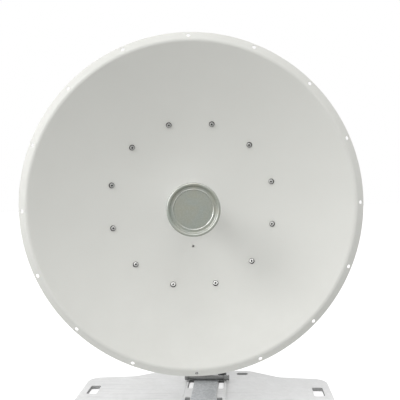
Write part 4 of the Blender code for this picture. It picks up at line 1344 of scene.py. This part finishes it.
class ANTENNA_OT_add_tilt_bracket(bpy.types.Operator):
    """Fold the fork and the two tilt ears, and bolt them together"""

    bl_idname = "antenna.add_tilt_bracket"
    bl_label = "Add Tilt Bracket"

    def execute(self, context):
        sizes = settings().bracket
        self.add_fork(sizes)
        for side, word in SIDES:
            self.add_ear(sizes, side, word)
            self.add_bolts(sizes, side, word)
        return {"FINISHED"}

    def arc_slots(self, sizes, reach):
        """Cutters for the two arc slots above the pivot, as slices of a ring."""
        half = M8["shank"] + 0.5 * MM
        sweep = math.radians(15)
        obj = start_line("arc", (sizes.lock_radius - half, 0, 0))
        bpy.ops.mesh.extrude_region_move(TRANSFORM_OT_translate={"value": (2 * half, 0, 0)})
        bpy.ops.mesh.select_all(action="SELECT")
        bpy.ops.mesh.spin(steps=24, angle=2 * sweep, center=(0, 0, 0), axis=(0, 0, 1))
        bpy.ops.mesh.select_all(action="SELECT")
        bpy.ops.mesh.extrude_region_move(TRANSFORM_OT_translate={"value": (0, 0, 2 * reach)})
        tidy_mesh()
        first = math.pi / 2 - sweep
        settle(obj, lift(-reach) @ Matrix.Rotation(first, 4, "Z"))
        for angle in (first, math.pi / 2 + sweep):
            x = sizes.lock_radius * math.cos(angle)
            y = sizes.lock_radius * math.sin(angle)
            combine(obj, cylinder("end", half, (x, y, -reach), (x, y, reach)), "UNION")
        return settle(obj, shift((0, PIVOT.y, PIVOT.z)) @ side_on())

    def add_fork(self, sizes):
        half = sizes.fork_ear + sizes.fork_sheet
        reach = 2 * half
        web = -sizes.fork_web
        front = -sizes.fork_front
        sheet = sizes.fork_sheet
        section = [
            (-half, front, 0),
            (sheet - half, front, 0),
            (sheet - half, web - sheet, 2 * MM),
            (half - sheet, web - sheet, 2 * MM),
            (half - sheet, front, 0),
            (half, front, 0),
            (half, web, 5.5 * MM),
            (-half, web, 5.5 * MM),
        ]
        fork = plate("tilt_fork_folded", section, 2 * sizes.fork_height, 6)
        settle(fork, lift(-sizes.fork_height))
        side = [
            (web + MM, -sizes.fork_height, 0),
            (web + MM, sizes.fork_height, 0),
            (web - 5 * MM, sizes.fork_height, 4 * MM),
            (front + 14 * MM, 30 * MM, 20 * MM),
            (front, 30 * MM, 12 * MM),
            (front, -sizes.fork_height, 20 * MM),
        ]
        outline = plate("outline", side, 2 * reach)
        settle(outline, shift((-reach, 0, 0)) @ side_on())
        combine(fork, outline, "INTERSECT")
        pivot = (PIVOT.y, PIVOT.z)
        for way in (-1, 1):
            start = (way * (sizes.fork_ear + MM), *pivot)
            end = (way * (sizes.ear_place + 4.3 * MM), *pivot)
            combine(fork, cylinder("boss", 11 * MM, start, end, 48), "UNION")
        combine(fork, cylinder("pivot", PIVOT_BORE, (-reach, *pivot), (reach, *pivot)))
        combine(fork, self.arc_slots(sizes, reach))
        for x, z in four(sizes.clamp_bolt_x, sizes.clamp_bolt_z):
            combine(fork, cylinder("hole", M8_BORE, (x, web + 9 * MM, z), (x, web - 9 * MM, z), 24))
        round_edges(fork, 0.4 * MM, 2, 50)
        finish_piece(fork, "swivel", "galvanised", ["tilt_fork"], SWIVEL)

    def add_ear(self, sizes, side, word):
        name = f"tilt_ear_{word}"
        low, high = node_span(name, SWIVEL)
        sheet = 4 * MM
        front = low.y
        inner = sizes.ear_place
        outer = sizes.ear_flange
        section = [
            (inner, front, 5 * MM),
            (outer, front, 0),
            (outer, front + sheet, 0),
            (inner + sheet, front + sheet, 1.5 * MM),
            (inner + sheet, high.y + MM, 0),
            (inner, high.y + MM, 0),
        ]
        if side < 0:
            section = [(-x, y, radius) for x, y, radius in reversed(section)]
        ear = plate(name + "_folded", section, high.z - low.z, 6)
        settle(ear, lift(low.z))
        upright = [
            (front + 6 * MM, low.z, 0),
            (PIVOT.y + 20 * MM, low.z, 20 * MM),
            (PIVOT.y + 11.5 * MM, high.z - 11 * MM, 11.5 * MM),
            (PIVOT.y - 6 * MM, high.z - 11 * MM, 12 * MM),
            (front + 6 * MM, high.z, 0),
        ]
        outline = plate("outline", upright, 4 * MM + 2 * sheet)
        settle(outline, shift((side * inner - 6 * MM + side * 2 * MM, 0, 0)) @ side_on())
        flange = box_corners((outer - inner) / 2 + MM, (high.z - low.z) / 2, 6 * MM)
        face = plate("flange outline", flange, 12 * MM, 6)
        settle(face, shift((side * (inner + outer) / 2, front + 8 * MM, (low.z + high.z) / 2)) @ STAND)
        combine(outline, face, "UNION")
        combine(ear, outline, "INTERSECT")
        middle = side * (inner + sheet / 2)
        start, end = middle - 9 * MM, middle + 9 * MM
        for bore, rise in ((PIVOT_BORE, 0), (4.3 * MM, sizes.lock_radius)):
            place = (PIVOT.y, PIVOT.z + rise)
            combine(ear, cylinder("bore", bore, (start, *place), (end, *place)))
        round_edges(ear, 0.4 * MM, 2, 50)
        finish_piece(ear, "antenna", "galvanised", [name], SWIVEL)
        nuts = []
        for z in EAR_BOLT_HEIGHTS:
            ring = washer("washer", M8)
            nut = join("nut", [ring, settle(hex_part("nut", M8, M8["head"]), lift(WASHER))])
            nuts.append(settle(nut, along((side * EAR_BOLT_X, front + sheet, z), (0, 1, 0))))
        finish_piece(join(name + "_nuts", nuts), "antenna", "stainless", [], SWIVEL)

    def add_bolts(self, sizes, side, word):
        head_at = side * (sizes.fork_ear + sizes.fork_sheet)
        grip = sizes.fork_ear + sizes.fork_sheet - sizes.ear_place
        pivot = hex_bolt(f"pivot_bolt_{word}_m10", M10, grip, 1.5 * MM)
        settle(pivot, along((head_at, PIVOT.y, PIVOT.z), (side, 0, 0)))
        finish_piece(pivot, "swivel", "stainless", [f"pivot_bolt_{word}"], SWIVEL)
        lock = hex_bolt(f"lock_bolt_{word}_m8", M8, grip, 1.5 * MM)
        settle(lock, along((head_at, PIVOT.y, PIVOT.z + sizes.lock_radius), (side, 0, 0)))
        finish_piece(lock, "antenna", "stainless", [f"lock_bolt_{word}"], SWIVEL)


class ANTENNA_OT_add_mast_clamp(bpy.types.Operator):
    """Cast the two clamp halves and draw them together with four bolts"""

    bl_idname = "antenna.add_mast_clamp"
    bl_label = "Add Mast Clamp"

    def execute(self, context):
        sizes = settings().bracket
        self.add_half(sizes, "clamp_front", -1)
        self.add_half(sizes, "clamp_rear", 1)
        head_at = -sizes.fork_web - sizes.fork_sheet
        grip = node_span("clamp_rear", SWIVEL)[1].y - head_at
        for x, z in four(sizes.clamp_bolt_x, sizes.clamp_bolt_z):
            name = f"clamp_bolt_{'lower' if z < 0 else 'upper'}_{'left' if x < 0 else 'right'}"
            bolt = hex_bolt(name + "_m8", M8, grip, 0.2 * MM)
            settle(bolt, along((x, head_at, z), (0, -1, 0)))
            finish_piece(bolt, "swivel", "stainless", [name], SWIVEL)
        return {"FINISHED"}

    def add_half(self, sizes, name, side):
        """A block with chamfered outer corners, a round seat and a relief between the bolts."""
        low, high = node_span(name, SWIVEL)
        near, far, chamfer = (low.y, high.y, 10 * MM) if side > 0 else (high.y, low.y, 3 * MM)
        section = [(-high.x, near, MM), (high.x, near, MM), (high.x, far, chamfer), (-high.x, far, chamfer)]
        block = plate(name + "_casting", section, high.z - low.z, 5)
        settle(block, lift(low.z))
        if side > 0:
            hollow = plate("hollow", box_corners(24 * MM, 30 * MM, 6 * MM), 6 * MM, 6)
            settle(hollow, along((0, far - 4 * MM, 0), (0, 1, 0)))
            combine(block, hollow)
        reach = 2 * high.z
        bore = MAST_RADIUS + 0.3 * MM
        combine(block, cylinder("seat", bore, (0, 0, -reach), (0, 0, reach), 96))
        for x, z in four(sizes.clamp_bolt_x, sizes.clamp_bolt_z):
            combine(block, cylinder("hole", M8_BORE, (x, -reach, z), (x, reach, z), 24))
        round_edges(block, 1.2 * MM, 3, 50)
        finish_piece(block, "swivel", "cast_aluminium", [name], SWIVEL)


# Base, foot and mast


SLOT_CUT = 3 * PLATE_HIGH.z


class ANTENNA_OT_add_base_plate(bpy.types.Operator):
    """Cut the thick base plate with its lobe, its slots and its bolt holes"""

    bl_idname = "antenna.add_base_plate"
    bl_label = "Add Base Plate"

    def execute(self, context):
        sizes = settings().plate
        quarter = [
            (PLATE_HIGH.x, sizes.wing_edge, 25 * MM),
            (sizes.shoulder_x, sizes.shoulder_y, 34 * MM),
            (sizes.hump_x, sizes.hump_y, 40 * MM),
        ]
        back_right = quarter + [(sizes.lobe_x, sizes.hump_y, 5 * MM), (sizes.lobe_x, PLATE_HIGH.y, 10 * MM)]
        back_left = [(-x, y, r) for x, y, r in reversed(back_right)]
        front_left = [(-x, -y, r) for x, y, r in quarter]
        front_right = [(x, -y, r) for x, y, r in reversed(quarter)]
        outline = back_right + back_left + front_left + front_right
        base = plate("base_plate_sheet", outline, PLATE_HIGH.z, 12)
        cutters = []
        corner = (sizes.slot_width / 2, sizes.slot_depth / 2, 3 * MM)
        hump = (sizes.hump_slot_width / 2, sizes.hump_slot_depth / 2, 6 * MM)
        for sx, sy in four(1, 1):
            slot = box_corners(*corner, (sx * sizes.slot_x, sy * sizes.slot_y))
            cutters.append(plate("slot", slot, SLOT_CUT, 8))
            slot = box_corners(*hump, (sx * sizes.hump_slot_x, sy * sizes.hump_slot_y))
            cutters.append(plate("slot", slot, SLOT_CUT, 8))
        cutters += centre_slots()
        cutters = [settle(join("slots", cutters), lift(-PLATE_HIGH.z))]
        bore = M10["shank"] + 0.6 * MM
        for point in flange_bolts():
            cutters.append(cylinder("hole", bore, point - UP * 20 * MM, point + UP * 20 * MM))
        combine(base, join("cutters", cutters))
        round_edges(base, sizes.edge_round, 3, 60)
        finish_piece(base, "stand", "galvanised", ["base_plate"], WORLD, "base_zinc")
        return {"FINISHED"}


def centre_slots():
    """Cutters for the six slots in two rows along the plate's middle."""
    sizes = settings().foot
    slots = []
    for x in (MAST_X - sizes.row_x, MAST_X + sizes.row_x):
        for step in (-1, 0, 1):
            size = sizes.end_length if step else sizes.middle_length
            corners = box_corners(sizes.slot_width / 2, size / 2, 4 * MM, (x, step * sizes.end_y))
            slots.append(plate("slot", corners, SLOT_CUT, 8))
    return slots


def flange_bolts():
    sizes = settings().foot
    spots = four(sizes.flange_bolt_x, sizes.flange_bolt_y)
    return [Vector((MAST_X + x, MAST_Y + y, 0)) for x, y in spots]


class ANTENNA_OT_add_centre_foot(bpy.types.Operator):
    """Press the channel and strap, and lay the cross rod over them"""

    bl_idname = "antenna.add_centre_foot"
    bl_label = "Add Centre Foot"

    def execute(self, context):
        sizes = settings().foot
        self.add_channel(sizes)
        self.add_strap()
        self.add_rod(sizes)
        return {"FINISHED"}

    def add_channel(self, sizes):
        low, high = node_span("centre_channel")
        half = (high.x - low.x) / 2
        sheet = sizes.channel_sheet
        lip = high.z - low.z
        section = [
            (-half, 0, 1.2 * MM),
            (half, 0, 1.2 * MM),
            (half, lip, 0.4 * MM),
            (half - sheet, lip, 0.4 * MM),
            (half - sheet, sheet, 0.6 * MM),
            (sheet - half, sheet, 0.6 * MM),
            (sheet - half, lip, 0.4 * MM),
            (-half, lip, 0.4 * MM),
        ]
        channel = plate("centre_channel_pressing", section, high.y - low.y, 4)
        settle(channel, shift((MAST_X, high.y, low.z)) @ STAND)
        combine(channel, join("slots", centre_slots()))
        round_edges(channel, 0.25 * MM, 2, 60)
        finish_piece(channel, "stand", "galvanised", ["centre_channel"])

    def add_strap(self):
        low, high = node_span("centre_strap")
        centre = (low + high) / 2
        outline = box_corners((high.x - low.x) / 2, (high.y - low.y) / 2, 4 * MM, (centre.x, centre.y))
        strap = plate("centre_strap_sheet", outline, high.z - low.z, 8)
        settle(strap, lift(low.z))
        round_edges(strap, 0.4 * MM, 3, 60)
        finish_piece(strap, "stand", "spangled_zinc", ["centre_strap"])

    def add_rod(self, sizes):
        low, high = node_span("cross_rod")
        centre = Vector((MAST_X, (low.y + high.y) / 2, (low.z + high.z) / 2))
        reach = MAST_X - low.x
        tip = high.x - MAST_X
        steel = {"corner": 6.2 * MM, "shank": sizes.rod_radius, "pitch": 1.5 * MM}
        parts = [thread("rod", steel, -reach + MM, tip - MM)]
        smooth = reach - sizes.rod_nut - 2 * MM
        parts.append(cylinder("bar", sizes.rod_radius, (0, 0, -smooth), (0, 0, smooth), 64))
        ends = (
            (-reach + sizes.rod_nut, sizes.rod_nut, FLIP),
            (reach - sizes.rod_nut, sizes.rod_nut - 0.6 * MM, WORLD),
            (reach - 0.3 * MM, tip - reach + 0.3 * MM, WORLD),
        )
        for start, height, turn in ends:
            nut = hex_part("nut", steel, height, 0, math.radians(11))
            parts.append(settle(nut, lift(start) @ turn))
        rod = join("cross_rod_bar", parts)
        place = shift(centre) @ Matrix.Rotation(math.pi / 2, 4, "Y")
        finish_piece(rod, "stand", "black_steel", ["cross_rod"], place, "rubbed_steel")


class ANTENNA_OT_add_mast(bpy.types.Operator):
    """Make the mast with its flange, weld bead, bolts and rubber cap"""

    bl_idname = "antenna.add_mast"
    bl_label = "Add Mast"

    def execute(self, context):
        sizes = settings().foot
        self.add_flange(sizes)
        self.add_tube(sizes)
        self.add_cap()
        return {"FINISHED"}

    def add_flange(self, sizes):
        low, high = node_span("mast_flange")
        bottom = PLATE_HIGH.z + 0.3 * MM
        corners = box_corners((high.x - low.x) / 2, (high.y - low.y) / 2, 8 * MM, (MAST_X, MAST_Y))
        flange = plate("mast_flange_sheet", corners, sizes.flange_sheet, 8)
        settle(flange, lift(bottom))
        bore = M10["shank"] + 0.4 * MM
        cutters = [cylinder("hole", bore, point, point + UP * 40 * MM) for point in flange_bolts()]
        combine(flange, join("holes", cutters))
        round_edges(flange, 0.8 * MM, 3, 60)
        finish_piece(flange, "stand", "galvanised", ["mast_flange"])
        top = bottom + sizes.flange_sheet
        bolts = []
        for point in flange_bolts():
            head = settle(hex_part("head", M10, high.z - top - WASHER), lift(top + WASHER))
            ring = settle(washer("washer", M10), lift(top))
            shank = thread("shank", M10, MM, top + WASHER + 0.5 * MM)
            bolts.append(settle(join("bolt", [head, ring, shank]), shift(point)))
        finish_piece(join("mast_flange_bolts", bolts), "stand", "black_steel")

    def add_tube(self, sizes):
        inner = MAST_RADIUS - sizes.mast_wall
        foot = MAST_LOW.z
        wall = [
            (inner, MAST_HIGH.z, 0),
            (MAST_RADIUS, MAST_HIGH.z, 0.6 * MM),
            (MAST_RADIUS, foot + 6 * MM, 0),
            (MAST_RADIUS + 1 * MM, foot + 5.2 * MM, 0.6 * MM),
            (MAST_RADIUS + 4.6 * MM, foot + 1.5 * MM, 1.6 * MM),
            (MAST_RADIUS + 5 * MM, foot, 0),
            (inner, foot, 0),
        ]
        tube = lathe("mast_tube", soften(wall), closed=True)
        finish_piece(tube, "stand", "galvanised", ["mast"], MAST_FRAME)

    def add_cap(self):
        low, high = node_span("mast_cap", MAST_FRAME)
        outer = high.x
        groove = outer - 0.7 * MM
        bore = MAST_RADIUS + 0.3 * MM
        lid = high.z - 2.5 * MM
        profile = [
            (0, high.z, 0),
            (outer * 0.55, high.z, 2 * MM),
            (outer * 0.66, high.z - 0.6 * MM, 2 * MM),
            (outer, high.z - 0.6 * MM, 2.4 * MM),
            (outer, low.z + 5 * MM, 0.4 * MM),
            (groove, low.z + 4.2 * MM, 0.4 * MM),
            (groove, low.z + 3.4 * MM, 0.4 * MM),
            (outer, low.z + 2.6 * MM, 0.4 * MM),
            (outer, low.z, 0.6 * MM),
            (bore, low.z, 0),
            (bore, lid, 0),
            (0, lid, 0),
        ]
        cap = lathe("mast_cap_moulding", soften(profile))
        finish_piece(cap, "stand", "cap_rubber", ["mast_cap"], MAST_FRAME)


# Stage


LIGHTS_AIM = Vector((0, -0.1, 0.36))
LIGHTS = (
    ("key", 1.4, (-1.8, -2.0, 2.1)),
    ("top", 2.0, (0.5, -1.9, 2.6)),
    ("side", 0.8, (-1.9, -0.12, 1.3)),
    ("back", 1.2, (0.0, 1.0, 2.4)),
)
GLOSS_SIZE = 2.0
GLOSS_PANELS = (
    ("gloss low", 0.8, (-2.2, -1.6, 0.5)),
    ("gloss left", 1.0, (-1.9, -1.7, 1.7)),
    ("gloss top", 1.0, (-0.4, -1.8, 2.6)),
    ("gloss right", 0.6, (1.4, -1.8, 2.3)),
)


class ANTENNA_OT_add_stage(bpy.types.Operator):
    """Lay the floor, hang the lights and set the camera"""

    bl_idname = "antenna.add_stage"
    bl_label = "Add Stage"

    def execute(self, context):
        stage = settings().stage
        deselect()
        bpy.ops.mesh.primitive_plane_add(size=14, location=(0, 0, -MM))
        floor = new_name(bpy.context.object, "floor")
        settle(floor, WORLD)
        floor.data.materials.append(bpy.data.materials["floor_paint" + FINISH])
        for name, size, place in LIGHTS:
            self.add_light(name, getattr(stage, name + "_power"), size, place)
        for name, share, place in GLOSS_PANELS:
            panel = self.add_light(name, share * stage.gloss_power, GLOSS_SIZE, place)
            panel.visible_diffuse = False
        self.add_sky(stage)
        self.add_camera(stage)
        context.scene.view_settings.view_transform = "Standard"
        return {"FINISHED"}

    def add_light(self, name, power, size, place):
        deselect()
        bpy.ops.object.light_add(type="AREA", location=place)
        light = new_name(bpy.context.object, name)
        light.data.energy = power
        light.data.size = size
        aim = LIGHTS_AIM - Vector(place)
        light.rotation_euler = aim.to_track_quat("-Z", "Y").to_euler()
        return light

    def add_sky(self, stage):
        """Soft light all round; the camera sees plain white behind the floor."""
        world = bpy.data.worlds.new("sky")
        bpy.context.scene.world = world
        world.use_nodes = True
        wiring = Wiring(world.node_tree)
        background = world.node_tree.nodes["Background"]
        background.inputs["Color"].default_value = (1, 1, 1, 1)
        seen = wiring.add("ShaderNodeLightPath").outputs["Is Camera Ray"]
        strength = wiring.remap(seen, 0.0, 1.0, stage.sky, 1.0)
        world.node_tree.links.new(strength, background.inputs["Strength"])

    def add_camera(self, stage):
        deselect()
        bpy.ops.object.camera_add(location=stage.camera_place)
        camera = new_name(bpy.context.object, "camera")
        turn, dip, roll = stage.camera_turn
        level = Matrix.Rotation(math.pi / 2 - dip, 4, "X")
        view = Matrix.Rotation(turn, 4, "Z") @ level @ Matrix.Rotation(roll, 4, "Z")
        camera.rotation_euler = view.to_euler()
        camera.data.lens = stage.lens
        camera.data.sensor_width = 36
        camera.data.dof.use_dof = False
        camera.data.clip_start = 0.05
        camera.data.clip_end = 60
        bpy.context.scene.camera = camera


class ANTENNA_PT_panel(bpy.types.Panel):
    """Buttons for the pieces and the stage, in the order they are used."""

    bl_label = "Dish Antenna"
    bl_idname = "ANTENNA_PT_panel"
    bl_space_type = "VIEW_3D"
    bl_region_type = "UI"
    bl_category = "Dish Antenna"

    def draw(self, context):
        antenna = context.scene.antenna
        for group in ("reflector", "feed", "bracket", "foot", "plate", "finish", "stage"):
            box = self.layout.box()
            box.label(text=group.title())
            values = getattr(antenna, group)
            for name in type(values).__annotations__:
                box.prop(values, name)
        for step in STEPS:
            self.layout.operator(step.bl_idname)


STEPS = (
    ANTENNA_OT_make_finishes,
    ANTENNA_OT_add_reflector,
    ANTENNA_OT_add_bowl_screws,
    ANTENNA_OT_add_feed,
    ANTENNA_OT_add_feed_back,
    ANTENNA_OT_add_mounting_ring,
    ANTENNA_OT_add_tilt_bracket,
    ANTENNA_OT_add_mast_clamp,
    ANTENNA_OT_add_base_plate,
    ANTENNA_OT_add_centre_foot,
    ANTENNA_OT_add_mast,
    ANTENNA_OT_add_stage,
)

CLASSES = (
    ReflectorSettings,
    FeedSettings,
    BracketSettings,
    FootSettings,
    PlateSettings,
    FinishSettings,
    StageSettings,
    AntennaSettings,
    *STEPS,
    ANTENNA_PT_panel,
)


def register():
    for cls in CLASSES:
        bpy.utils.register_class(cls)
    bpy.types.Scene.antenna = PointerProperty(type=AntennaSettings)


def unregister():
    del bpy.types.Scene.antenna
    for cls in reversed(CLASSES):
        bpy.utils.unregister_class(cls)


def main():
    register()
    for step in STEPS:
        getattr(bpy.ops.antenna, step.bl_idname.split(".")[1])()


if __name__ == "__main__":
    main()
